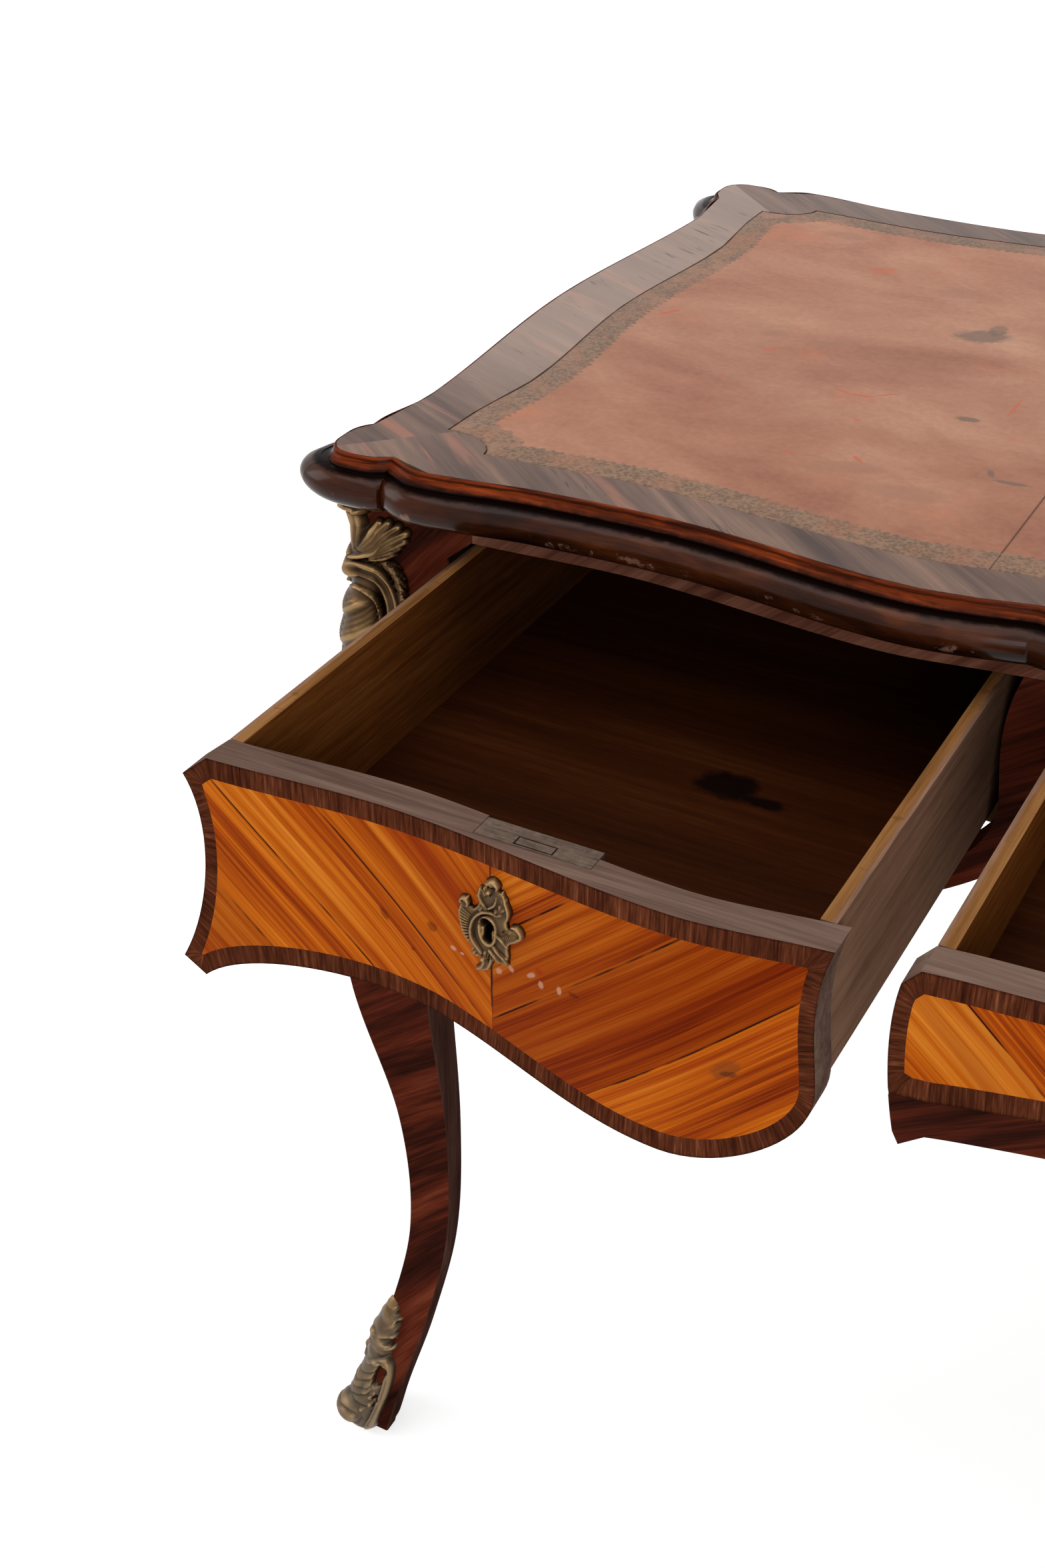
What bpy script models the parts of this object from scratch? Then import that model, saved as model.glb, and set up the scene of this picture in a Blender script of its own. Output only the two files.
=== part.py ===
"""Bureau plat: a flat writing desk with a leather top, three frieze drawers and cabriole legs.

Metres, +Z up, front towards -Y. The two left-hand drawers stand open, the right-hand one is shut.
Pieces are worked out in the desk's own frame (top centred on x = y = 0, floor at z = 0) and hang
on the empty "desk", which puts the middle of the standing object's box on the origin.
"""
import math

import bmesh
import bpy
from mathutils import Vector

# Overall sizes
TOP_WIDTH = 1.240  # across the ears, outside the edge moulding
TOP_DEPTH = 0.555
HEIGHT = 0.764

# Fits
SEAT = 0.0003  # between pieces that touch
RUN = 0.0015  # round a drawer front in its opening
SLIDE = 0.0008  # beside a drawer, and round a lock bolt

# Top
EDGE_HEIGHT = 0.028  # moulded edge, top to bottom
EDGE_REACH = 0.013  # how far the moulding stands out from the flat top
HALF_ROUND = 0.010  # radius of the moulding's half round
VENEER = 0.0015  # banding and leather
MARGIN_LONG = 0.0285  # banding between the front edge and the leather
MARGIN_ENDS = 0.042
LEATHER_CENTRE = 0.517  # width of the middle leather
SCOOP_X = 0.026  # hollow corner of the leather
SCOOP_Y = 0.019
EAR = 0.038  # length of an ear along each side
EAR_ROUND = 0.014
NOTCH = 0.0065  # depth of the nick beside an ear

# How far the long sides stand behind the line of the ears
LINE_CENTRE = 0.024
LINE_DIVIDER = 0.006
LINE_BULGE = -0.002
LINE_HOLLOW = 0.009
LINE_LEG = 0.0035
CUSP = 0.0085  # nick in the moulded edge at each divider
SHOULDER = -0.0025  # the edge comes forward again beside the ear
# The same for the two ends
END_HOLLOW = 0.0095
END_MIDDLE = 0.001

# Case
CASE_SETBACK = 0.0165  # case face behind the edge of the flat top
RAIL_HEIGHT = 0.0185
RAIL_DEPTH = 0.020
PANEL = 0.016  # thickness of the back and ends
APRON = 0.016  # height of the strip under a side drawer
APRON_DEPTH = 0.020
DIVIDER_BOARD = 0.022
STILE_BEHIND = 0.006  # how far a stile reaches behind the drawer fronts
TAIL = 0.075  # the divider's foot runs this far under the side drawer
RUNNER_HEIGHT = 0.018
RUNNER_LEDGE = 0.013  # how far a runner reaches under the drawer side
GUIDE_HEIGHT = 0.030

# Drawers
DRAWER_INSET = 0.077  # from the line of the ears to a side drawer's box
SIDE_DRAWER_WIDTH = 0.289
DIVIDER_GAP = 0.039  # between the boxes of neighbouring drawers
DRAWER_REAR_ROOM = 0.026  # behind a shut drawer, at the middle of the back
SIDE_BOX_HEIGHT = 0.085
CENTRE_BOX_HEIGHT = 0.060
FRONT_THICKNESS = 0.018
SIDE_THICKNESS = 0.007
BACK_THICKNESS = 0.008
BOTTOM_THICKNESS = 0.006
BOTTOM_RAISE = 0.008  # underside of the bottom board above the sides' lower edge
GROOVE = 0.003
BACK_DROP = 0.006  # the drawer back is lower than the sides
LOBE = 0.060  # round lower corner of a side drawer front
FLARE = 0.025  # how far a side drawer front widens towards its foot
SWELL = 0.011  # how far the middle drawer front widens below its top
SIDE_FRONT_DROP = 0.127  # lowest corner of a side drawer front below its top
CENTRE_FRONT_DROP = 0.089
LEFT_OPEN = 0.237
CENTRE_OPEN = 0.237

# Locks
LOCK_WIDTH = 0.055
LOCK_HEIGHT = 0.045
LOCK_DEPTH = 0.013
LOCK_OFFSET = 0.0155  # a side drawer's lock sits off its middle, towards the divider
BOLT_WIDTH = 0.017
BOLT_THICKNESS = 0.0045
BOLT_LENGTH = 0.0185
BOLT_THROW = 0.007
KEYHOLE_DROP = 0.0403  # a side drawer's keyhole below its top
CENTRE_KEYHOLE_DROP = 0.034
KEYHOLE_OFFSET = -0.0017  # keyhole from the middle of a side drawer
KEY_ROUND = 0.0028
KEY_SLOT = 0.0018
KEY_LENGTH = 0.009
ESCUTCHEON_WIDTH = 0.035
ESCUTCHEON_HEIGHT = 0.0545
ESCUTCHEON_THICKNESS = 0.0025

# Legs: share of the height under the top, and how far the outer corner stands inside the line of the ears
LEG_CORNER = ((0.0, -0.012), (0.019, -0.0155), (0.06, -0.0100), (0.141, 0.0055), (0.25, 0.0183),
              (0.386, 0.0153), (0.549, -0.0033), (0.639, -0.005), (0.734, 0.0), (0.821, 0.006),
              (0.929, 0.0095), (1.0, 0.010))
# and the inner edges of the two outer faces, as a share of their inset at the case
LEG_INNER = ((0.0, 0.247), (0.019, 0.337), (0.06, 0.455), (0.141, 0.723), (0.25, 0.984), (0.386, 1.073),
             (0.549, 1.091), (0.685, 1.06), (0.78, 1.0))
LEG_STEPS = (0.0, 0.019, 0.06, 0.10, 0.141, 0.195, 0.25, 0.32, 0.386, 0.47, 0.549, 0.62, 0.70)
LEG_ARRIS = 0.004  # softened outer corner
LEG_CHEEK = 0.48  # inner face, as a share of the outer face's width
POST_CHEEK = 0.030
KNEE_LOW = 0.563  # between these shares the outer faces swing back to the case
KNEE_HIGH = 0.78

# Bronze mounts: share of the height from the top down, with the reach along each face and the thickness
SABOT_HEIGHT = 0.116
SABOT_THICKNESS = 0.007
SABOT_REACH = ((0.0, 0.003), (0.125, 0.007), (0.39, 0.013), (0.505, 0.0235), (0.66, 0.0255), (0.83, 0.019),
               (1.0, 0.012))
SABOT_DEPTH = ((0.0, 0.35), (0.5, 0.6), (0.7, 0.9), (0.86, 1.3), (1.0, 0.8))
CHUTE_HEIGHT = 0.125
CHUTE_THICKNESS = 0.007
CHUTE_RISE = 0.017  # top of the mount above the rail's lower edge
CHUTE_REACH = ((0.0, 0.006), (0.128, 0.012), (0.196, 0.025), (0.276, 0.0235), (0.332, 0.014), (0.436, 0.020),
               (0.556, 0.0225), (0.716, 0.017), (0.876, 0.008), (1.0, 0.003))
CHUTE_DEPTH = ((0.0, 0.6), (0.167, 1.0), (0.417, 0.8), (0.667, 1.2), (1.0, 0.4))
NEAR = 0.004  # an outline's points closer than this to a joint are left out
MOUNT_EASE = 0.0018  # a mount's thin edges stand this far off the wood

# Derived places
STILE_DEPTH = FRONT_THICKNESS + STILE_BEHIND
FLAT_X = TOP_WIDTH / 2 - EDGE_REACH
FLAT_Y = TOP_DEPTH / 2 - EDGE_REACH
UNDER_TOP = HEIGHT - EDGE_HEIGHT
RAIL_BOTTOM = UNDER_TOP - RAIL_HEIGHT
DRAWER_TOP = RAIL_BOTTOM - RUN
SIDE_LEFT = -FLAT_X + DRAWER_INSET
SIDE_RIGHT = SIDE_LEFT + SIDE_DRAWER_WIDTH
CENTRE_LEFT = SIDE_RIGHT + DIVIDER_GAP
CUSP_X = -(SIDE_RIGHT + CENTRE_LEFT) / 2 + 0.006
NOTCH_X = FLAT_X - EAR
DRAWER_LENGTH = 2 * (FLAT_Y - CASE_SETBACK) - LINE_CENTRE - PANEL - DRAWER_REAR_ROOM


# Curves

def spline(knots, x):
    """Smooth curve through the knots, read at x; the first knot is level."""
    slopes = [0.0]
    for before, after in zip(knots, knots[2:]):
        slopes.append((after[1] - before[1]) / (after[0] - before[0]))
    slopes.append((knots[-1][1] - knots[-2][1]) / (knots[-1][0] - knots[-2][0]))
    index = 0
    while index < len(knots) - 2 and x > knots[index + 1][0]:
        index += 1
    (x0, y0), (x1, y1) = knots[index], knots[index + 1]
    span = x1 - x0
    t = min(max((x - x0) / span, 0.0), 1.0)
    rise = (2 * t - 3) * t * t + 1
    start = ((t - 2) * t + 1) * t * span * slopes[index]
    end = (t - 1) * t * t * span * slopes[index + 1]
    return rise * y0 + (1 - rise) * y1 + start + end


def bezier(p0, p1, p2, p3, steps):
    """Points along a cubic, without its last one."""
    points = []
    for step in range(steps):
        t = step / steps
        weights = ((1 - t) ** 3, 3 * t * (1 - t) ** 2, 3 * t * t * (1 - t), t ** 3)
        points.append(tuple(sum(w * p[axis] for w, p in zip(weights, (p0, p1, p2, p3)))
                            for axis in (0, 1)))
    return points


def spread(start, end, steps):
    return [start + (end - start) * step / steps for step in range(steps + 1)]


def area(points):
    return sum(a[0] * b[1] - b[0] * a[1] for a, b in zip(points, points[1:] + points[:1])) / 2


def outward(points):
    """Mitre direction at each corner of a closed outline, for an offset of one."""
    turn = 1 if area(points) > 0 else -1
    count = len(points)
    result = []
    for index in range(count):
        before = Vector(points[index]) - Vector(points[index - 1])
        after = Vector(points[(index + 1) % count]) - Vector(points[index])
        normal_a = Vector((before.y, -before.x)).normalized() * turn
        normal_b = Vector((after.y, -after.x)).normalized() * turn
        bisector = (normal_a + normal_b).normalized()
        result.append(bisector / max(bisector.dot(normal_a), 0.35))
    return result


def offset(points, distance):
    """Closed outline moved outwards by the distance."""
    return [(p[0] + distance * m.x, p[1] + distance * m.y)
            for p, m in zip(points, outward(points))]


def front_line(x):
    """How far the long side's face stands behind the line of the ears."""
    bulge = -SIDE_RIGHT + 0.22 * SIDE_DRAWER_WIDTH
    hollow = -SIDE_RIGHT + 0.67 * SIDE_DRAWER_WIDTH
    knots = ((0.0, LINE_CENTRE), (-0.88 * CENTRE_LEFT, 0.6 * LINE_CENTRE), (-SIDE_RIGHT, LINE_DIVIDER),
             (bulge, LINE_BULGE), (hollow, LINE_HOLLOW), (-SIDE_LEFT, LINE_LEG), (FLAT_X, LINE_LEG))
    return spline(knots, abs(x))


def end_line(y):
    leg = FLAT_Y - DRAWER_INSET
    return spline(((0.0, END_MIDDLE), (0.66 * leg, END_HOLLOW), (leg, LINE_LEG), (FLAT_Y, LINE_LEG)), abs(y))


def case_front(x):
    return -FLAT_Y + CASE_SETBACK + front_line(x)


def case_end(y):
    return -FLAT_X + CASE_SETBACK + end_line(y)


# Meshes

def material(name, colour, roughness, metallic=0.0):
    made = bpy.data.materials.new(name)
    made.use_nodes = True
    shader = made.node_tree.nodes["Principled BSDF"]
    shader.inputs["Base Color"].default_value = (*colour, 1.0)
    shader.inputs["Roughness"].default_value = roughness
    shader.inputs["Metallic"].default_value = metallic
    return made


def add(name, bm, finish, parent, origin=(0.0, 0.0, 0.0)):
    """Turn a bmesh in the desk's frame into a named piece whose parent stands at origin when shut."""
    bm.normal_update()
    bmesh.ops.recalc_face_normals(bm, faces=bm.faces)
    bmesh.ops.translate(bm, verts=bm.verts, vec=-Vector(origin))
    mesh = bpy.data.meshes.new(name)
    bm.to_mesh(mesh)
    bm.free()
    mesh.materials.append(finish)
    mesh.shade_smooth()
    mesh.set_sharp_from_angle(angle=math.radians(35))
    piece = bpy.data.objects.new(name, mesh)
    bpy.context.scene.collection.objects.link(piece)
    piece.parent = parent
    return piece


def empty(name, location, parent=None):
    made = bpy.data.objects.new(name, None)
    bpy.context.scene.collection.objects.link(made)
    made.location = location
    made.parent = parent
    return made


def box(x0, x1, y0, y1, z0, z1):
    return prism([(x0, y0), (x1, y0), (x1, y1), (x0, y1)], z0, z1)


def prism(outline, z0, z1, hole=None):
    """Plan outline raised from z0 to z1, with an opening if there is one."""
    bm = bmesh.new()
    verts = [bm.verts.new((x, y, z0)) for x, y in outline]
    if hole:
        inner = [bm.verts.new((x, y, z0)) for x, y in hole]
        edges = [bm.edges.new(pair) for loop in (verts, inner) for pair in zip(loop, loop[1:] + loop[:1])]
        bmesh.ops.triangle_fill(bm, use_beauty=True, edges=edges)
    else:
        bm.faces.new(verts)
    raised = bmesh.ops.extrude_face_region(bm, geom=bm.faces[:])["geom"]
    bmesh.ops.translate(bm, verts=[v for v in raised if isinstance(v, bmesh.types.BMVert)],
                        vec=(0.0, 0.0, z1 - z0))
    return bm


def board(outline, front, back, stations):
    """Board with an outline in x and z, whose two faces follow front(x) and back(x)."""
    bm = prism(outline, 0.0, 1.0)
    bmesh.ops.triangulate(bm, faces=bm.faces)
    for x in stations:
        bmesh.ops.bisect_plane(bm, geom=bm.verts[:] + bm.edges[:] + bm.faces[:], dist=1e-6,
                               plane_co=(x, 0.0, 0.0), plane_no=(1.0, 0.0, 0.0))
    bm.normal_update()
    spare = [e for e in bm.edges if abs(e.verts[0].co.x - e.verts[1].co.x) > 1e-6
             and all(abs(f.normal.z) > 0.9 for f in e.link_faces)]
    bmesh.ops.dissolve_edges(bm, edges=spare, use_verts=False)
    bmesh.ops.triangulate(bm, faces=bm.faces)
    for vert in bm.verts:
        x, z, side = vert.co
        vert.co = (x, front(x) if side < 0.5 else back(x), z)
    return bm


def loft(sections):
    """Closed solid through sections with the same number of points."""
    bm = bmesh.new()
    rings = [[bm.verts.new(point) for point in section] for section in sections]
    for ring, following in zip(rings, rings[1:]):
        for index in range(len(ring)):
            after = (index + 1) % len(ring)
            bm.faces.new((ring[index], ring[after], following[after], following[index]))
    caps = [bm.faces.new(rings[0]), bm.faces.new(rings[-1])]
    bmesh.ops.recalc_face_normals(bm, faces=bm.faces)
    bmesh.ops.triangulate(bm, faces=caps)
    return bm


def boolean(piece, other, operation):
    """Join or cut a piece with a guide that is left out of the model."""
    other.hide_render = True
    other.display_type = "WIRE"
    modifier = piece.modifiers.new(operation.title(), "BOOLEAN")
    modifier.operation = operation
    modifier.solver = "EXACT"
    modifier.object = other


# Top

def top_outline():
    """Edge of the flat top as one closed loop, and the places of its four ear corners."""
    bulge = CUSP_X + 0.062
    hollow = CUSP_X + 0.50 * (NOTCH_X - CUSP_X)
    centre_run = ((0.0, LINE_CENTRE), (0.55 * CUSP_X, 0.72 * LINE_CENTRE), (0.79 * CUSP_X, 0.5 * LINE_CENTRE),
                  (CUSP_X - 0.016, 0.8 * CUSP), (CUSP_X, CUSP))
    side_run = ((CUSP_X - 0.016, 2 * CUSP), (CUSP_X, CUSP), (bulge, LINE_BULGE), (hollow, LINE_HOLLOW),
                (NOTCH_X - 0.085, 0.7 * LINE_HOLLOW), (NOTCH_X - 0.021, SHOULDER), (NOTCH_X, NOTCH))
    leg = FLAT_Y - EAR
    end_run = ((0.0, END_MIDDLE), (leg - 0.050, 0.0125), (leg - 0.012, NOTCH), (leg, NOTCH))
    quarter = [(x, FLAT_Y - spline(centre_run, x)) for x in spread(0.0, CUSP_X, 7)[:-1]]
    quarter += [(x, FLAT_Y - spline(side_run, x)) for x in spread(CUSP_X, NOTCH_X, 13)[:-1]]
    ear = [(EAR, NOTCH), (0.76 * EAR, 0.2 * NOTCH), (0.55 * EAR, 0.0)]
    arc = [(EAR_ROUND * (1 - math.sin(a)), EAR_ROUND * (1 - math.cos(a)))
           for a in spread(0.0, math.pi / 2, 4)]
    mirrored = [(q, p) for p, q in reversed(ear)]
    corner = len(quarter) + len(ear) + 2
    quarter += [(FLAT_X - p, FLAT_Y - q) for p, q in ear + arc + mirrored]
    quarter += [(FLAT_X - spline(end_run, y), y) for y in spread(leg, 0.0, 7)[1:]]
    return whole_loop(quarter, corner)


def whole_loop(quarter, corner=0):
    """Mirror the back right quarter, which runs from the back to the right, into a clockwise loop."""
    half = quarter + [(x, -y) for x, y in reversed(quarter[:-1])]
    loop = half + [(-x, y) for x, y in reversed(half[1:-1])]
    count, turn = len(loop), len(half) - 1
    return loop, [corner, turn - corner, turn + corner, count - corner]


def leather_outline():
    inset = MARGIN_LONG + front_line(NOTCH_X)
    end_inset = MARGIN_ENDS + END_HOLLOW
    corner_x = FLAT_X - end_inset - SCOOP_X
    corner_y = FLAT_Y - inset - SCOOP_Y
    quarter = [(x, FLAT_Y - MARGIN_LONG - front_line(x)) for x in spread(0.0, corner_x, 20)]
    quarter += [(corner_x + SCOOP_X * (1 - math.cos(a)), corner_y + SCOOP_Y * (1 - math.sin(a)))
                for a in spread(0.0, math.pi / 2, 5)[1:-1]]
    quarter += [(FLAT_X - MARGIN_ENDS - end_line(y), y) for y in spread(corner_y, 0.0, 8)]
    return whole_loop(quarter)[0]


def edge_profile():
    """Section of the moulded edge: distance out from the flat top, height above the floor."""
    centre = EDGE_REACH - HALF_ROUND
    middle = UNDER_TOP + HALF_ROUND
    quirk = middle + HALF_ROUND
    fillet = HEIGHT - quirk
    points = [(0.0, UNDER_TOP), (0.0, HEIGHT), (0.08 * EDGE_REACH, HEIGHT),
              (0.18 * EDGE_REACH, HEIGHT - 0.30 * fillet), (0.46 * EDGE_REACH, HEIGHT - 0.70 * fillet),
              (0.38 * EDGE_REACH, quirk)]
    for degrees in (62, 32, 2, -28, -58):
        angle = math.radians(degrees)
        points.append((centre + HALF_ROUND * math.cos(angle), middle + HALF_ROUND * math.sin(angle)))
    points.append((centre, UNDER_TOP))
    return points


def build_top(desk, finishes):
    loop, corners = top_outline()
    leather = leather_outline()
    profile = edge_profile()
    mitres = outward(loop)
    count = len(loop)
    for name, first, last in (("right", 0, 1), ("front", 1, 2), ("left", 2, 3), ("back", 3, 0)):
        start, end = corners[first], corners[last]
        run = [index % count for index in range(start, end + 1 if end > start else end + count + 1)]
        sections = []
        for place, index in enumerate(run):
            point = Vector(loop[index])
            if place in (0, len(run) - 1):
                towards = Vector(loop[run[1]] if place == 0 else loop[run[-2]])
                point += (towards - point).normalized() * SEAT / 2
            sections.append([(point.x + u * mitres[index].x, point.y + u * mitres[index].y, z)
                             for u, z in profile])
        add("edge_moulding_" + name, loft(sections), finishes["moulding"], desk)
    inside = offset(loop, -SEAT)
    top_face = HEIGHT - VENEER
    add("top_core", prism(inside, UNDER_TOP, top_face - SEAT), finishes["oak"], desk)
    add("top_banding", prism(inside, top_face, HEIGHT, offset(leather, SEAT)), finishes["kingwood"], desk)
    seam = LEATHER_CENTRE / 2
    for name, low, high in (("left", -FLAT_X, -seam), ("centre", -seam, seam), ("right", seam, FLAT_X)):
        bm = prism(leather, top_face, HEIGHT)
        for x, side in ((low + SEAT / 2, 1.0), (high - SEAT / 2, -1.0)):
            cut = bmesh.ops.bisect_plane(bm, geom=bm.verts[:] + bm.edges[:] + bm.faces[:], dist=1e-6,
                                         plane_co=(x, 0.0, 0.0), plane_no=(side, 0.0, 0.0), clear_inner=True)
            edges = [e for e in cut["geom_cut"] if isinstance(e, bmesh.types.BMEdge)]
            if edges:
                bmesh.ops.contextual_create(bm, geom=edges)
        add("leather_" + name, bm, finishes["leather"], desk)


# Drawer fronts, in x along the desk and z; the right-hand side drawer is the mirror of the left

def side_front():
    """Outline of the left drawer front, and where its left edge, bottom and right edge begin."""
    left, width, top = SIDE_LEFT, SIDE_DRAWER_WIDTH, DRAWER_TOP
    low = SIDE_FRONT_DROP

    def at(across, down):
        return (left + across, top - down)

    lobe = low - 0.04 * FLARE
    edge = [at(0.0, 0.0)]
    edge += bezier(at(-0.56 * FLARE, 0.48 * FLARE), at(0.04 * FLARE, 0.28 * low), at(-0.24 * FLARE, 0.67 * low),
                   at(-FLARE, 0.94 * low), 5)
    edge.append(at(-FLARE, 0.94 * low))
    bottom = bezier(at(-0.52 * FLARE, low), at(0.4 * FLARE, 0.82 * low), at(LOBE, 0.768 * low),
                    at(0.39 * width, 0.81 * low), 5)
    bottom += bezier(at(0.39 * width, 0.81 * low), at(0.525 * width, 0.86 * low), at(0.64 * width, lobe),
                     at(width - LOBE, lobe), 5)
    wide = width + 0.16 * FLARE
    head = width + 0.24 * FLARE
    right = bezier(at(width - LOBE, lobe), at(width - 0.45 * LOBE, lobe), at(wide, 0.8 * low),
                   at(wide, 0.59 * low), 5)
    right += bezier(at(wide, 0.59 * low), at(wide, 0.45 * low), at(width - 0.16 * FLARE, 0.25 * low),
                    at(head, 0.0), 5)
    right.append(at(head, 0.0))
    marks = (0, len(edge), len(edge) + len(bottom))
    return edge + bottom + right, marks


def centre_front():
    """Outline of the middle drawer front, and how many points its left edge has."""
    top, low, half = DRAWER_TOP, CENTRE_FRONT_DROP, -CENTRE_LEFT

    def at(across, down):
        return (CENTRE_LEFT + across, top - down)

    edge = [at(0.0, 0.0)]
    foot = -0.27 * SWELL
    edge += bezier(at(-0.64 * SWELL, 0.73 * SWELL), at(-SWELL, 0.34 * low), at(-0.73 * SWELL, 0.67 * low),
                   at(foot, 0.93 * low), 5)
    edge += [at(foot, 0.93 * low), at(0.0, low)]
    bottom = bezier(at(0.9 * SWELL, 0.92 * low), at(0.25 * half, 0.85 * low), at(0.6 * half, 0.74 * low),
                    at(half, 0.72 * low), 6)
    left = edge + bottom
    return left + [at(half, 0.72 * low)] + [(-x, z) for x, z in reversed(left)], len(edge)


def mirror_x(points):
    return [(-x, z) for x, z in points]


def plan_steps(low, high, steps):
    return spread(low, high, steps)[1:-1]


# Case

def opening_edges():
    """Edges of the left drawer's opening: beside the leg, along the bottom, beside the divider."""
    outline, marks = side_front()
    loop = offset(outline, RUN)
    return loop[marks[0]:marks[1]], loop[marks[1]:marks[2]], loop[marks[2]:]


def leg_inner_edge():
    """Height and inset of the leg's inner edge beside the drawer opening, from below."""
    return [(z, x + FLAT_X) for x, z in reversed(opening_edges()[0])]


def leg_section(z, inner):
    """Plan section of a leg as distances inside the lines of the ears."""
    share = z / UNDER_TOP
    corner = spline(LEG_CORNER, share)
    swing = min(max((share - KNEE_LOW) / (KNEE_HIGH - KNEE_LOW), 0.0), 1.0)
    swing = swing * swing * (3 - 2 * swing)
    face = corner + swing * (CASE_SETBACK + LINE_LEG - corner)
    cheek = (1 - swing) * LEG_CHEEK * (inner - corner) + swing * POST_CHEEK
    back = min(face + cheek, inner - SEAT)
    front_half = [(corner + 0.3 * LEG_ARRIS, corner + 0.3 * LEG_ARRIS), (corner + LEG_ARRIS, corner),
                  (inner, face), (inner, back)]
    return front_half + [(q, p) for p, q in reversed(front_half[1:])]


def leg_stations():
    """Heights at which a leg is drawn, with the inset of its inner edge."""
    edge = leg_inner_edge()
    below = [(share * UNDER_TOP, spline(LEG_INNER, share) * edge[0][1]) for share in LEG_STEPS + (KNEE_HIGH,)]
    return below + edge + [(UNDER_TOP - SEAT, edge[-1][1])]


def leg_at(z):
    """Section of the finished leg at any height."""
    stations = leg_stations()
    for (z0, inner0), (z1, inner1) in zip(stations, stations[1:]):
        if z <= z1:
            break
    t = max((z - z0) / (z1 - z0), 0.0)
    low, high = leg_section(z0, inner0), leg_section(z1, inner1)
    return [tuple(a + t * (b - a) for a, b in zip(p, q)) for p, q in zip(low, high)]


def in_corner(points, z, x_sign, y_sign):
    return [(x_sign * (FLAT_X - p), y_sign * (FLAT_Y - q), z) for p, q in points]


def corner_mount(top, height, thickness, reaches, depths):
    """Heights and sections of a bronze that hugs a leg's outer corner and lies on both its faces."""
    foot = top - height
    heights = [top] + [z for z, _ in reversed(leg_stations()) if foot + SEAT < z < top - SEAT] + [foot]
    sections = []
    for z in heights:
        share = (top - z) / height
        section = leg_at(z)
        corner, start, end = Vector(section[0]), Vector(section[1]), Vector(section[2])
        along = (end - start).normalized()
        away = Vector((along.y, -along.x))
        reach = spline(reaches, share)
        depth = thickness * spline(depths, share)
        tip = start + along * reach
        back = [tip + away * MOUNT_EASE, start + away * MOUNT_EASE / 2]
        skin = [tip + away * (MOUNT_EASE + 0.4 * depth), start + along * 0.4 * reach + away * depth,
                start + away * depth]
        ring = back + [corner - Vector((SEAT, SEAT))] + [p.yx for p in reversed(back)]
        ring += [p.yx for p in skin] + [corner - Vector((depth, depth))] + list(reversed(skin))
        sections.append((z, ring))
    return sections


def sabot_sections():
    return corner_mount(SABOT_HEIGHT, SABOT_HEIGHT, SABOT_THICKNESS, SABOT_REACH, SABOT_DEPTH)


def build_leg(name, x_sign, y_sign, desk, finishes):
    sections = [in_corner(leg_section(z, inner), z, x_sign, y_sign) for z, inner in leg_stations()]
    add("leg_" + name, loft(sections), finishes["kingwood"], desk)
    chute = corner_mount(RAIL_BOTTOM + CHUTE_RISE, CHUTE_HEIGHT, CHUTE_THICKNESS, CHUTE_REACH, CHUTE_DEPTH)
    for mount, sections in (("chute_", chute), ("sabot_", sabot_sections())):
        rings = [in_corner(ring, z, x_sign, y_sign) for z, ring in sections]
        add(mount + name, loft(rings), finishes["bronze"], desk)


def rail_ends():
    return -FLAT_X + leg_inner_edge()[-1][1] + SEAT


def build_rail(desk, finishes):
    left = rail_ends()
    steps = 40
    outline = [(left, RAIL_BOTTOM), (-left, RAIL_BOTTOM), (-left, UNDER_TOP - SEAT), (left, UNDER_TOP - SEAT)]
    bm = board(outline, case_front, lambda x: case_front(x) + RAIL_DEPTH, plan_steps(left, -left, steps))
    rail = add("front_rail", bm, finishes["kingwood"], desk)
    for name, x in lock_places().items():
        y = lock_plane(x)
        room = BOLT_THICKNESS / 2 + SLIDE
        half = BOLT_WIDTH / 2 + SLIDE
        pocket = box(x - half, x + half, y - room, y + room, RAIL_BOTTOM - 0.01, RAIL_BOTTOM + BOLT_THROW)
        boolean(rail, add("mortise_" + name, pocket, finishes["oak"], desk), "DIFFERENCE")


def apron_lower_edge():
    """Lower edge of the strip under the left drawer, from the leg to the divider's tail."""
    bottom = opening_edges()[1]
    leg = rail_foot()
    return [(leg, bottom[0][1] - 0.75 * APRON)] + [(x, z - APRON) for x, z in bottom[1:]]


def rail_foot():
    """Where the apron meets the leg."""
    return -FLAT_X + leg_inner_edge()[0][1] + SEAT


def tail_edge():
    """Foot of the divider, from the middle drawer's lower corner to the end of the tail."""
    start = (CENTRE_LEFT - 2 * RUN, DRAWER_TOP - CENTRE_FRONT_DROP - 2 * RUN)
    end = (SIDE_RIGHT - TAIL, DRAWER_TOP - SIDE_FRONT_DROP - RUN - APRON)
    middle = (SIDE_RIGHT - 0.2 * TAIL, end[1])
    return bezier(start, (SIDE_RIGHT + 0.3 * DIVIDER_GAP, start[1] - 0.013), middle, end, 7) + [end]


def crossing(points, x):
    """Height at which an outline that runs to the right passes x."""
    for (x0, z0), (x1, z1) in zip(points, points[1:]):
        if x0 <= x <= x1:
            return z0 + (z1 - z0) * (x - x0) / (x1 - x0)
    return points[-1][1]


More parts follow.
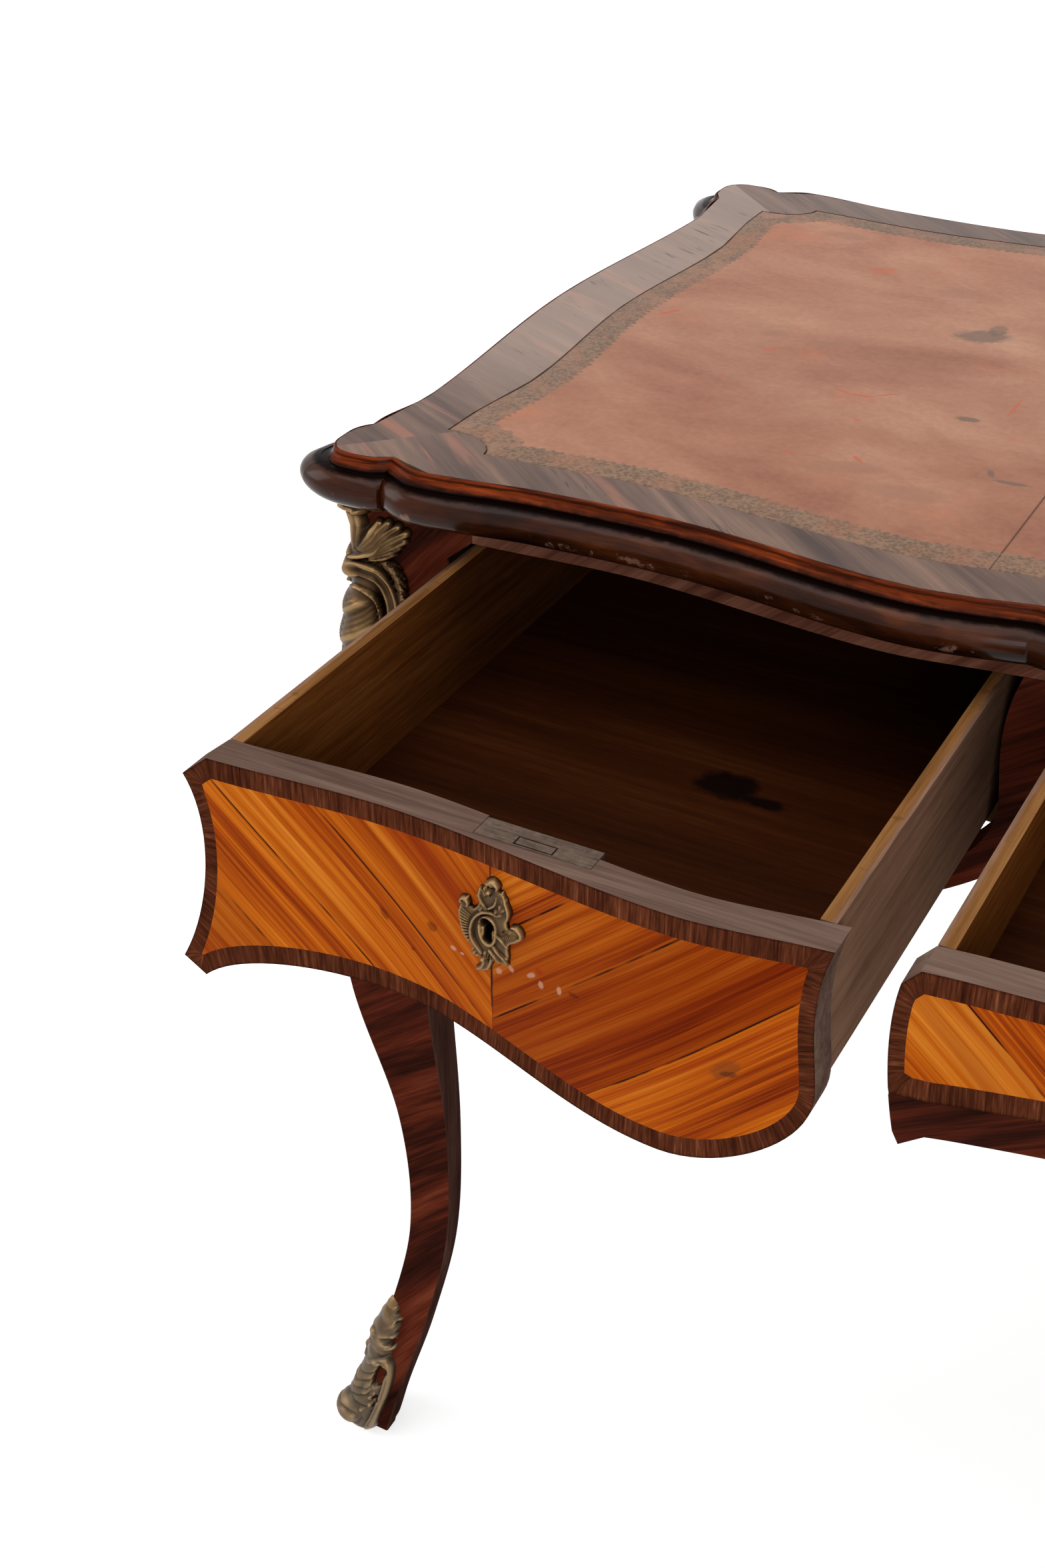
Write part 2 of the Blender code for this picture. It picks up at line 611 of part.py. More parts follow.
def build_front_frame(name, flip, desk, finishes):
    """Apron strip and divider of one side; flip mirrors them to the right."""
    beside, bottom, right = opening_edges()
    centre, count = centre_front()
    split = SIDE_RIGHT - TAIL
    lower = apron_lower_edge()
    end = split - SEAT
    strip = [(rail_foot(), beside[-1][1] - SEAT)] + [p for p in bottom if p[0] < end - NEAR]
    strip += [(end, crossing(bottom + right, end)), (end, DRAWER_TOP - SIDE_FRONT_DROP - RUN - APRON)]
    strip += [p for p in reversed(lower) if p[0] < end - NEAR]
    steps = plan_steps(rail_foot(), end, 12)
    place_board("apron_" + name, flip, strip, steps, APRON_DEPTH, desk, finishes)

    head = RAIL_BOTTOM - SEAT
    middle = offset(centre, RUN)[:count]
    stile = [(split, crossing(bottom + right, split))]
    stile += [p for p in bottom + right if p[0] > split and p[1] < head]
    stile += [(right[-1][0], head), (middle[0][0], head)]
    stile += [p for p in middle if p[1] < head] + tail_edge()
    steps = plan_steps(split, CENTRE_LEFT, 8)
    piece = place_board("divider_" + name, flip, stile, steps, STILE_DEPTH, desk, finishes)
    middle_x = (SIDE_RIGHT + CENTRE_LEFT) / 2
    half = DIVIDER_BOARD / 2
    face = max(case_front(middle_x - half), case_front(middle_x + half))
    rear = -face - PANEL - SEAT
    foot = DRAWER_TOP - SIDE_BOX_HEIGHT - RUNNER_HEIGHT
    start, notch = face + FRONT_THICKNESS + RUN, face + STILE_DEPTH + 4 * SEAT
    profile = [(start, foot), (rear, foot), (rear, UNDER_TOP - SEAT), (notch, UNDER_TOP - SEAT), (notch, head - SEAT),
               (start, head - SEAT)]
    sign = -1 if flip else 1
    bm = loft([[(sign * x, y, z) for y, z in profile] for x in (middle_x - half, middle_x + half)])
    boolean(piece, add("partition_" + name, bm, finishes["oak"], desk), "UNION")


def place_board(name, flip, outline, stations, depth, desk, finishes):
    if flip:
        outline = mirror_x(outline)
        stations = [-x for x in stations]
    bm = board(outline, case_front, lambda x: case_front(x) + depth, stations)
    return add(name, bm, finishes["kingwood"], desk)


def build_panels(desk, finishes):
    """Back and ends: boards between the legs, shaped like the drawers and aprons of the front."""
    beside = opening_edges()[0]
    lower = apron_lower_edge()[:-1]
    tail = list(reversed(tail_edge()))
    centre, count = centre_front()
    arch = [p for p in centre[count:] if p[0] < -1e-6]
    # the legs' inner edges, less the seat
    edge = [(x + 2 * SEAT, z) for x, z in beside[1:]]
    head = UNDER_TOP - SEAT
    left = [(rail_ends() + SEAT, head), (rail_ends() + SEAT, beside[0][1])] + edge
    left += [(rail_foot(), lower[0][1])] + [p for p in lower[1:] if p[0] < tail[0][0] - NEAR] + tail[:-1] + arch
    outline = left + mirror_x(list(reversed(left)))
    bm = board(outline, lambda x: -case_front(x), lambda x: -case_front(x) - PANEL,
               plan_steps(rail_ends(), -rail_ends(), 40))
    add("back_panel", bm, finishes["kingwood"], desk)

    # an end is as long as the back is wide, less the difference between the two
    shift = FLAT_X - FLAT_Y
    half = [(x + shift, z) for x, z in left[:len(beside) + 2]]
    rise = lower[0][1] + 0.022
    half += [(-0.62 * FLAT_Y, rise - 0.004), (-0.35 * FLAT_Y, rise + 0.003), (-0.15 * FLAT_Y, rise + 0.004)]
    outline = half + mirror_x(list(reversed(half)))
    inner = -FLAT_X + end_inner()
    steps = plan_steps(half[0][0], -half[0][0], 12)
    for name, sign in (("left", 1), ("right", -1)):
        bm = board(outline, case_end, lambda y: inner, steps)
        for vert in bm.verts:
            y, x, z = vert.co
            vert.co = (sign * x, y, z)
        add("end_panel_" + name, bm, finishes["kingwood"], desk)


def end_inner():
    return CASE_SETBACK + END_HOLLOW + PANEL


def build_runners(desk, finishes):
    """Runners: a ledge under each drawer side and a guide beside it."""
    behind_leg = -FLAT_Y + max(inner for _, inner in leg_inner_edge()) + SEAT
    half = DIVIDER_BOARD / 2
    middle = (SIDE_RIGHT + CENTRE_LEFT) / 2
    behind_front = max(case_front(SIDE_RIGHT), case_front(CENTRE_LEFT)) + STILE_DEPTH + RUN
    end = -FLAT_X + end_inner() + SEAT
    side_top = DRAWER_TOP - SIDE_BOX_HEIGHT - SEAT
    centre_top = DRAWER_TOP - CENTRE_BOX_HEIGHT - SEAT
    kinds = (("outer", end, SIDE_LEFT, side_top, behind_leg, -behind_leg),
             ("inner", middle - half - SEAT, SIDE_RIGHT, side_top, behind_front, None),
             ("centre", middle + half + SEAT, CENTRE_LEFT, centre_top, behind_front, None))
    for kind, wall, drawer, top, start, stop in kinds:
        side = 1 if drawer > wall else -1
        guide = drawer - side * SLIDE
        ledge = drawer + side * RUNNER_LEDGE
        base = top - RUNNER_HEIGHT
        profile = [(wall, base), (ledge, base), (ledge, top), (guide, top), (guide, top + GUIDE_HEIGHT),
                   (wall, top + GUIDE_HEIGHT)]
        if stop is None:
            stop = min(-case_front(wall), -case_front(ledge)) - PANEL - SEAT
        for hand, sign in (("left", 1), ("right", -1)):
            bm = loft([[(sign * x, y, z) for x, z in profile] for y in (start, stop)])
            add("runner_{}_{}".format(kind, hand), bm, finishes["oak"], desk)


# Drawers

def lock_places():
    side = SIDE_LEFT + SIDE_DRAWER_WIDTH / 2 + LOCK_OFFSET
    return {"left": side, "centre": 0.0, "right": -side}


def lock_plane(x):
    """Middle of the lock bolt, front to back, in a shut drawer."""
    return case_front(x) + FRONT_THICKNESS - 0.55 * LOCK_DEPTH


def keyhole(x, z):
    """Round eye with a slot below it, as an outline in x and z."""
    start = math.asin(KEY_SLOT / KEY_ROUND)
    points = [(x + KEY_ROUND * math.sin(a), z - KEY_ROUND * math.cos(a))
              for a in spread(start, 2 * math.pi - start, 8)]
    return points + [(x - KEY_SLOT, z - KEY_LENGTH), (x + KEY_SLOT, z - KEY_LENGTH)]


def cartouche(x, z):
    """Scrolled outline of an escutcheon round the keyhole at x and z."""
    points = []
    for step in range(30):
        angle = 2 * math.pi * step / 30
        lobes = 1.0 + 0.10 * math.cos(5 * angle + 0.5) + 0.06 * math.sin(3 * angle)
        points.append((x + 0.42 * ESCUTCHEON_WIDTH * lobes * math.sin(angle),
                       z - 0.002 + 0.43 * ESCUTCHEON_HEIGHT * lobes * math.cos(angle)))
    return points


def build_drawer(name, sides, box_height, outline, key, opened, desk, finishes):
    """One drawer, worked out shut and hung on an empty that stands pulled out by the opened length."""
    low_x, high_x = sides
    origin = ((low_x + high_x) / 2, case_front((low_x + high_x) / 2), DRAWER_TOP)
    pull = empty("drawer_" + name, (origin[0], origin[1] - opened, origin[2]), desk)
    steps = plan_steps(min(x for x, _ in outline), max(x for x, _ in outline), 20)
    key_x, key_z = key

    def inner_face(x):
        return case_front(x) + FRONT_THICKNESS

    def make(piece, bm, finish):
        return add("drawer_{}_{}".format(name, piece), bm, finishes[finish], pull, origin)

    def key_cut(piece, depth):
        """Guide that drives the keyhole through a piece, ending the given depth behind the front face."""
        near, far = case_front(key_x) - 0.02, case_front(key_x) + depth
        shape = loft([[(x, y, z) for x, z in keyhole(key_x, key_z)] for y in (near, far)])
        return make(piece, shape, "oak")

    front = make("front", board(outline, case_front, inner_face, steps), "tulipwood")
    boolean(front, key_cut("front_keyhole", FRONT_THICKNESS + 0.01), "DIFFERENCE")
    lock_x = lock_places()[name]
    bolt_y = lock_plane(lock_x)
    lock_back = bolt_y + 0.55 * LOCK_DEPTH + 0.002
    lock_front = lock_back - LOCK_DEPTH
    lock_foot = DRAWER_TOP - LOCK_HEIGHT
    half = LOCK_WIDTH / 2
    room = BOLT_THICKNESS / 2 + SLIDE
    reach = BOLT_WIDTH / 2 + SLIDE
    mortise = box(lock_x - half - SEAT, lock_x + half + SEAT, lock_front - SEAT, lock_back + FRONT_THICKNESS,
                  lock_foot - SEAT, DRAWER_TOP + 0.01)
    boolean(front, make("lock_mortise", mortise, "oak"), "DIFFERENCE")
    lock = make("lock", box(lock_x - half, lock_x + half, lock_front, lock_back, lock_foot, DRAWER_TOP), "steel")
    slot_foot = DRAWER_TOP - BOLT_LENGTH - SEAT
    slot = box(lock_x - reach, lock_x + reach, bolt_y - room, bolt_y + room, slot_foot, DRAWER_TOP + 0.01)
    boolean(lock, make("bolt_slot", slot, "oak"), "DIFFERENCE")
    bolt = box(lock_x - BOLT_WIDTH / 2, lock_x + BOLT_WIDTH / 2, bolt_y - BOLT_THICKNESS / 2,
               bolt_y + BOLT_THICKNESS / 2, DRAWER_TOP - BOLT_LENGTH, DRAWER_TOP)
    make("bolt", bolt, "steel")

    plate_steps = plan_steps(key_x - ESCUTCHEON_WIDTH / 2, key_x + ESCUTCHEON_WIDTH / 2, 4)
    plate = board(cartouche(key_x, key_z), lambda x: case_front(x) - ESCUTCHEON_THICKNESS - SEAT,
                  lambda x: case_front(x) - SEAT, plate_steps)
    boolean(make("escutcheon", plate, "bronze"), key_cut("plate_keyhole", FRONT_THICKNESS), "DIFFERENCE")

    foot = DRAWER_TOP - box_height
    bottom = foot + BOTTOM_RAISE
    groove_top = bottom + BOTTOM_THICKNESS + SEAT
    rear = min(case_front(low_x), case_front(high_x)) + DRAWER_LENGTH
    for side, x, inward in (("left", low_x, 1), ("right", high_x, -1)):
        inside = x + inward * SIDE_THICKNESS
        depth = inside - inward * GROOVE
        start = max(inner_face(x), inner_face(inside)) + SEAT
        profile = [(x, foot), (inside, foot), (inside, bottom - SEAT), (depth, bottom - SEAT), (depth, groove_top),
                   (inside, groove_top), (inside, DRAWER_TOP), (x, DRAWER_TOP)]
        make("side_" + side, loft([[(a, y, z) for a, z in profile] for y in (start, rear)]), "beech")
    within = SIDE_THICKNESS + SEAT
    make("back", box(low_x + within, high_x - within, rear - BACK_THICKNESS, rear, bottom + BOTTOM_THICKNESS + SEAT,
                     DRAWER_TOP - BACK_DROP), "beech")
    within -= GROOVE
    floor = [(x, inner_face(x) + 2 * SEAT) for x in spread(low_x + within, high_x - within, 12)]
    floor += [(high_x - within, rear), (low_x + within, rear)]
    make("bottom", prism(floor, bottom, bottom + BOTTOM_THICKNESS), "beech")


def standing_shift():
    """Moves the desk back so that the box round it, open drawers included, is centred on the origin."""
    steps = spread(0.0, 1.0, 40)
    left = min(case_front(SIDE_LEFT + t * SIDE_DRAWER_WIDTH) for t in steps) - LEFT_OPEN
    centre = min(case_front(CENTRE_LEFT * t) for t in steps) - CENTRE_OPEN
    toe = max(-point[0] for _, ring in sabot_sections() for point in ring)
    return -(min(left, centre) - ESCUTCHEON_THICKNESS + FLAT_Y + toe) / 2


def main():
    for thing in list(bpy.data.objects):
        bpy.data.objects.remove(thing)
    finishes = {
        "kingwood": material("kingwood", (0.080, 0.026, 0.014), 0.32),
        "tulipwood": material("tulipwood", (0.420, 0.130, 0.028), 0.30),
        "moulding": material("dark moulding", (0.040, 0.012, 0.006), 0.22),
        "leather": material("tan leather", (0.470, 0.240, 0.160), 0.55),
        "oak": material("oak", (0.150, 0.085, 0.045), 0.60),
        "beech": material("drawer lining", (0.260, 0.140, 0.065), 0.60),
        "bronze": material("gilt bronze", (0.300, 0.200, 0.080), 0.38, 1.0),
        "steel": material("lock steel", (0.150, 0.130, 0.110), 0.45, 1.0),
    }
    desk = empty("desk", (0.0, standing_shift(), 0.0))
    build_top(desk, finishes)
    for name, x_sign, y_sign in (("front_left", -1, -1), ("front_right", 1, -1), ("back_left", -1, 1),
                                 ("back_right", 1, 1)):
        build_leg(name, x_sign, y_sign, desk, finishes)
    build_rail(desk, finishes)
    build_front_frame("left", False, desk, finishes)
    build_front_frame("right", True, desk, finishes)
    build_panels(desk, finishes)
    build_runners(desk, finishes)
    left, _ = side_front()
    key_x = SIDE_LEFT + SIDE_DRAWER_WIDTH / 2 + KEYHOLE_OFFSET
    key_z = DRAWER_TOP - KEYHOLE_DROP
    build_drawer("left", (SIDE_LEFT, SIDE_RIGHT), SIDE_BOX_HEIGHT, left, (key_x, key_z), LEFT_OPEN, desk,
                 finishes)
    build_drawer("centre", (CENTRE_LEFT, -CENTRE_LEFT), CENTRE_BOX_HEIGHT, centre_front()[0],
                 (0.0, DRAWER_TOP - CENTRE_KEYHOLE_DROP), CENTRE_OPEN, desk, finishes)
    build_drawer("right", (-SIDE_RIGHT, -SIDE_LEFT), SIDE_BOX_HEIGHT, mirror_x(left), (-key_x, key_z), 0.0, desk,
                 finishes)


main()
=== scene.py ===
"""Looks of a bureau plat: veneers, leather, bronze mounts, studio and camera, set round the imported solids.

Metres, +Z up, front towards -Y. Shapes are worked out in the desk's own frame, with the top centred on
x = y = 0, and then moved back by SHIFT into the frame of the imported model.
"""
import math

import bmesh
import bpy
import numpy as np
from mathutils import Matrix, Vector


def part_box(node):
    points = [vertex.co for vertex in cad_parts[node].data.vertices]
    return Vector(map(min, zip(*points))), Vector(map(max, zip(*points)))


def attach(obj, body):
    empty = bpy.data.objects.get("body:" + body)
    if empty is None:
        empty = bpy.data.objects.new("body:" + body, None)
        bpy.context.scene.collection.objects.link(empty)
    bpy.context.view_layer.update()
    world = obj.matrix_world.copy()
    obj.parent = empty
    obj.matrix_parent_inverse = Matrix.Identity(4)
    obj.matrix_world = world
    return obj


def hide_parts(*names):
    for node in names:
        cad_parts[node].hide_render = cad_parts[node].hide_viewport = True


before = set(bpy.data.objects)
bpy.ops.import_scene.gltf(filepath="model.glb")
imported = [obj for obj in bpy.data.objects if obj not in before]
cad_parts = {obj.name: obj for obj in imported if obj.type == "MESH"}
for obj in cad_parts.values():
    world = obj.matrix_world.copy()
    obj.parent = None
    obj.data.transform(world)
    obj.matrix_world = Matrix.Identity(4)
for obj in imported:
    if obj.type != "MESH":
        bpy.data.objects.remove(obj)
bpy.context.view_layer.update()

# Sizes of the solids
SEAT = 0.0003
RUN = 0.0015
SLIDE = 0.0008
TOP_WIDTH = 1.240
TOP_DEPTH = 0.555
HEIGHT = 0.764
EDGE_HEIGHT = 0.028
EDGE_REACH = 0.013
HALF_ROUND = 0.010
VENEER = 0.0015
MARGIN_LONG = 0.0285
MARGIN_ENDS = 0.042
LEATHER_CENTRE = 0.517
SCOOP_X = 0.026
SCOOP_Y = 0.019
EAR = 0.038
EAR_ROUND = 0.014
EAR_SWELL = 0.72  # share by which the half round stands out further at the ears' ends
EAR_TUCK = -0.45  # the same for the strip over it, which draws back there
NICK_POINTS = 9  # points beside a sharp nick that are kept from crossing it
NOTCH = 0.0065
LINE_CENTRE = 0.024
LINE_DIVIDER = 0.006
LINE_BULGE = -0.002
LINE_HOLLOW = 0.009
LINE_LEG = 0.0035
CUSP = 0.0085
SHOULDER = -0.0025
END_HOLLOW = 0.0095
END_MIDDLE = 0.001
CASE_SETBACK = 0.0165
RAIL_HEIGHT = 0.0185
RAIL_DEPTH = 0.020
PANEL = 0.016
APRON = 0.016
APRON_DEPTH = 0.020
DIVIDER_BOARD = 0.022
TAIL = 0.075
RUNNER_HEIGHT = 0.018
DRAWER_INSET = 0.077
SIDE_DRAWER_WIDTH = 0.289
DIVIDER_GAP = 0.039
SIDE_BOX_HEIGHT = 0.085
FRONT_THICKNESS = 0.018
STILE_DEPTH = FRONT_THICKNESS + 0.006
LOBE = 0.060
FLARE = 0.025
SWELL = 0.011
SIDE_FRONT_DROP = 0.127
CENTRE_FRONT_DROP = 0.089
OPENED = {"left": 0.237, "centre": 0.237, "right": 0.0}
LOCK_WIDTH = 0.055
LOCK_HEIGHT = 0.045
LOCK_DEPTH = 0.013
LOCK_PROUD = 0.002
LOCK_OFFSET = 0.0155
BOLT_WIDTH = 0.017
BOLT_THICKNESS = 0.0045
BOLT_THROW = 0.007
BOLT_PLACE = 0.55  # share of the lock's depth
KEYHOLE_DROP = 0.0403
CENTRE_KEYHOLE_DROP = 0.034
KEYHOLE_OFFSET = -0.0017
KEY_ROUND = 0.0028
KEY_SLOT = 0.0018
KEY_LENGTH = 0.009
LEG_CORNER = ((0.0, -0.012), (0.019, -0.0155), (0.06, -0.0100), (0.141, 0.0055), (0.25, 0.0183),
              (0.386, 0.0153), (0.549, -0.0033), (0.639, -0.005), (0.734, 0.0), (0.821, 0.006),
              (0.929, 0.0095), (1.0, 0.010))
LEG_INNER = ((0.0, 0.247), (0.019, 0.337), (0.06, 0.455), (0.141, 0.723), (0.25, 0.984), (0.386, 1.073),
             (0.549, 1.091), (0.685, 1.06), (0.78, 1.0))
LEG_ARRIS = 0.004
LEG_CHEEK = 0.48
POST_CHEEK = 0.030
KNEE_LOW = 0.563
KNEE_HIGH = 0.78
LEG_EASE = 0.0008  # rounding of the leg's inner edges
CHUTE_FOOT = 0.6095
NEAR = 0.004
END_RISE = 0.022  # by how much an end panel's lower edge rises from the legs
END_ARCH = ((-0.62, -0.004), (-0.35, 0.003), (-0.15, 0.004))

FLAT_X = TOP_WIDTH / 2 - EDGE_REACH
FLAT_Y = TOP_DEPTH / 2 - EDGE_REACH
UNDER_TOP = HEIGHT - EDGE_HEIGHT
ROUND_TOP = UNDER_TOP + 2 * HALF_ROUND
CASE_HEAD = UNDER_TOP - SEAT
RAIL_BOTTOM = UNDER_TOP - RAIL_HEIGHT
DRAWER_TOP = RAIL_BOTTOM - RUN
SIDE_LEFT = -FLAT_X + DRAWER_INSET
SIDE_RIGHT = SIDE_LEFT + SIDE_DRAWER_WIDTH
CENTRE_LEFT = SIDE_RIGHT + DIVIDER_GAP
CUSP_X = -(SIDE_RIGHT + CENTRE_LEFT) / 2 + 0.006
NOTCH_X = FLAT_X - EAR
core_low, core_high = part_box("top_core")
SHIFT = (core_low.y + core_high.y) / 2

# Looks
BAND = 0.0105  # crossband round a veneered panel
BAND_ENDS = 0.0066  # the same at the panel's ends
BORDER = 0.021  # tooled border of the leather
TOOTH = 0.0056  # spacing of the border's teeth
BORDER_END = BORDER + 0.002  # width that is kept as a coordinate at its inner ring
LEATHER_EASE = 0.0012  # rounding of the leather's rim
LEATHER_LIP = 0.0006
STRIP = 0.0185  # dark strip under the middle drawer's panel
STRIP_INSET = 0.0006
STRIP_GAP = 0.0001
STEP = 0.004  # spacing of points along an outline
SLICE = 0.006  # spacing of cuts across a bowed board
PAST = 0.01  # how far a cutter reaches past what it cuts
PANEL_FACE, EDGE_FACE, REAR_FACE = 1, 2, 3  # finishes of a board, after its crossband's
SUNK = -2.5  # a mount's sheet lies this far under the wood where it has no stroke, in millimetres
MOUNT_ROUND = 0.010  # radius on which a corner mount is wrapped
CORNERS = (("front_left", -1, -1), ("front_right", 1, -1), ("back_left", -1, 1), ("back_right", 1, 1))

# Studio
CAMERA_LENS = 45.92
CAMERA_SENSOR = 36.0
CAMERA_PLACE = (-0.0494, -0.9676, 1.193)
CAMERA_DOWN = 33.37
CAMERA_TURN = 28.69
WHITE = (1.0, 1.0, 1.0, 1.0)
FLOOR_COLOUR = (0.80, 0.80, 0.80, 1.0)
FLOOR_REACH = 12.0
FLOOR_GLOW = 0.62  # brightness of the floor itself in the picture
WORLD_LIGHT = 0.40  # light that the white surroundings give


# Curves

def spline(knots, x):
    """Smooth curve through the knots, read at x; the first knot is level."""
    slopes = [0.0]
    for before, after in zip(knots, knots[2:]):
        slopes.append((after[1] - before[1]) / (after[0] - before[0]))
    slopes.append((knots[-1][1] - knots[-2][1]) / (knots[-1][0] - knots[-2][0]))
    index = 0
    while index < len(knots) - 2 and x > knots[index + 1][0]:
        index += 1
    (x0, y0), (x1, y1) = knots[index], knots[index + 1]
    span = x1 - x0
    t = min(max((x - x0) / span, 0.0), 1.0)
    rise = (2 * t - 3) * t * t + 1
    start = ((t - 2) * t + 1) * t * span * slopes[index]
    end = (t - 1) * t * t * span * slopes[index + 1]
    return rise * y0 + (1 - rise) * y1 + start + end


def bezier(p0, p1, p2, p3, steps=20):
    """Points along a cubic, without its last one."""
    points = []
    for step in range(steps):
        t = step / steps
        weights = ((1 - t) ** 3, 3 * t * (1 - t) ** 2, 3 * t * t * (1 - t), t ** 3)
        points.append(tuple(sum(w * p[axis] for w, p in zip(weights, (p0, p1, p2, p3)))
                            for axis in range(len(p0))))
    return points


def spread(start, end, steps):
    return [start + (end - start) * step / steps for step in range(steps + 1)]


def eased(share):
    """Smooth step from 0 to 1."""
    share = min(max(share, 0.0), 1.0)
    return share * share * (3 - 2 * share)


def runs_of(points):
    """Distance run along a closed outline at each of its points, and at the end."""
    runs = [0.0]
    for a, b in zip(points, points[1:] + points[:1]):
        runs.append(runs[-1] + math.dist(a, b))
    return runs


def area(points):
    return sum(a[0] * b[1] - b[0] * a[1] for a, b in zip(points, points[1:] + points[:1])) / 2


def outward(points):
    """Mitre direction at each corner of a closed outline, for an offset of one."""
    turn = 1 if area(points) > 0 else -1
    count = len(points)
    result = []
    for index in range(count):
        before = Vector(points[index]) - Vector(points[index - 1])
        after = Vector(points[(index + 1) % count]) - Vector(points[index])
        normal_a = Vector((before.y, -before.x)).normalized() * turn
        normal_b = Vector((after.y, -after.x)).normalized() * turn
        bisector = (normal_a + normal_b).normalized()
        result.append(bisector / max(bisector.dot(normal_a), 0.35))
    return result


def offset(points, distance):
    """Closed outline moved outwards by the distance."""
    return [(p[0] + distance * m.x, p[1] + distance * m.y)
            for p, m in zip(points, outward(points))]


def dense(points):
    """Closed outline with its long straight runs split up."""
    result = []
    for a, b in zip(points, points[1:] + points[:1]):
        gap = math.dist(a, b)
        if gap < 1e-7:
            continue
        parts = max(1, round(gap / STEP))
        result += [tuple(p + (q - p) * part / parts for p, q in zip(a, b)) for part in range(parts)]
    return result


def front_line(x):
    """How far the long side's face stands behind the line of the ears."""
    bulge = -SIDE_RIGHT + 0.22 * SIDE_DRAWER_WIDTH
    hollow = -SIDE_RIGHT + 0.67 * SIDE_DRAWER_WIDTH
    knots = ((0.0, LINE_CENTRE), (-0.88 * CENTRE_LEFT, 0.6 * LINE_CENTRE), (-SIDE_RIGHT, LINE_DIVIDER),
             (bulge, LINE_BULGE), (hollow, LINE_HOLLOW), (-SIDE_LEFT, LINE_LEG), (FLAT_X, LINE_LEG))
    return spline(knots, abs(x))


def end_line(y):
    leg = FLAT_Y - DRAWER_INSET
    return spline(((0.0, END_MIDDLE), (0.66 * leg, END_HOLLOW), (leg, LINE_LEG), (FLAT_Y, LINE_LEG)), abs(y))


def case_front(x):
    return -FLAT_Y + CASE_SETBACK + front_line(x)


def case_end(y):
    return -FLAT_X + CASE_SETBACK + end_line(y)


# Outlines, as in the solids but with more points

def top_outline():
    """Edge of the flat top as one closed loop, its four ear corners and the places of its sharp nicks."""
    bulge = CUSP_X + 0.062
    hollow = CUSP_X + 0.50 * (NOTCH_X - CUSP_X)
    centre_run = ((0.0, LINE_CENTRE), (0.55 * CUSP_X, 0.72 * LINE_CENTRE), (0.79 * CUSP_X, 0.5 * LINE_CENTRE),
                  (CUSP_X - 0.016, 0.8 * CUSP), (CUSP_X, CUSP))
    side_run = ((CUSP_X - 0.016, 2 * CUSP), (CUSP_X, CUSP), (bulge, LINE_BULGE), (hollow, LINE_HOLLOW),
                (NOTCH_X - 0.085, 0.7 * LINE_HOLLOW), (NOTCH_X - 0.021, SHOULDER), (NOTCH_X, NOTCH))
    leg = FLAT_Y - EAR
    end_run = ((0.0, END_MIDDLE), (leg - 0.050, 0.0125), (leg - 0.012, NOTCH), (leg, NOTCH))
    quarter = [(x, FLAT_Y - spline(centre_run, x)) for x in spread(0.0, CUSP_X, 56)[:-1]]
    cusp = len(quarter)
    quarter += [(x, FLAT_Y - spline(side_run, x)) for x in spread(CUSP_X, NOTCH_X, 90)[:-1]]
    notch = len(quarter)
    ear = bezier((EAR, NOTCH), (0.84 * EAR, 0.1 * NOTCH), (0.72 * EAR, 0.0), (0.55 * EAR, 0.0), 10)
    arc = [(EAR_ROUND * (1 - math.sin(a)), EAR_ROUND * (1 - math.cos(a)))
           for a in spread(0.0, math.pi / 2, 12)]
    mirrored = [(q, p) for p, q in reversed(ear)]
    corner = len(quarter) + len(ear) + 6
    quarter += [(FLAT_X - p, FLAT_Y - q) for p, q in ear + arc + mirrored]
    nick = len(quarter) - 1
    quarter += [(FLAT_X - spline(end_run, y), y) for y in spread(leg, 0.0, 56)[1:]]
    loop, corners = whole_loop(quarter, corner)
    turn, count = 2 * (len(quarter) - 1), len(loop)
    sharp = []
    for mark in (cusp, notch, nick):
        sharp += [mark, turn - mark, turn + mark, count - mark]
    return loop, corners, sharp


def whole_loop(quarter, corner=0):
    """Mirror the back right quarter, which runs from the back to the right, into a clockwise loop."""
    half = quarter + [(x, -y) for x, y in reversed(quarter[:-1])]
    loop = half + [(-x, y) for x, y in reversed(half[1:-1])]
    count, turn = len(loop), len(half) - 1
    return loop, [corner, turn - corner, turn + corner, count - corner]


def leather_outline():
    inset = MARGIN_LONG + front_line(NOTCH_X)
    end_inset = MARGIN_ENDS + END_HOLLOW
    corner_x = FLAT_X - end_inset - SCOOP_X
    corner_y = FLAT_Y - inset - SCOOP_Y
    quarter = [(x, FLAT_Y - MARGIN_LONG - front_line(x)) for x in spread(0.0, corner_x, 100)]
    quarter += [(corner_x + SCOOP_X * (1 - math.cos(a)), corner_y + SCOOP_Y * (1 - math.sin(a)))
                for a in spread(0.0, math.pi / 2, 10)[1:-1]]
    quarter += [(FLAT_X - MARGIN_ENDS - end_line(y), y) for y in spread(corner_y, 0.0, 44)]
    return whole_loop(quarter)[0]


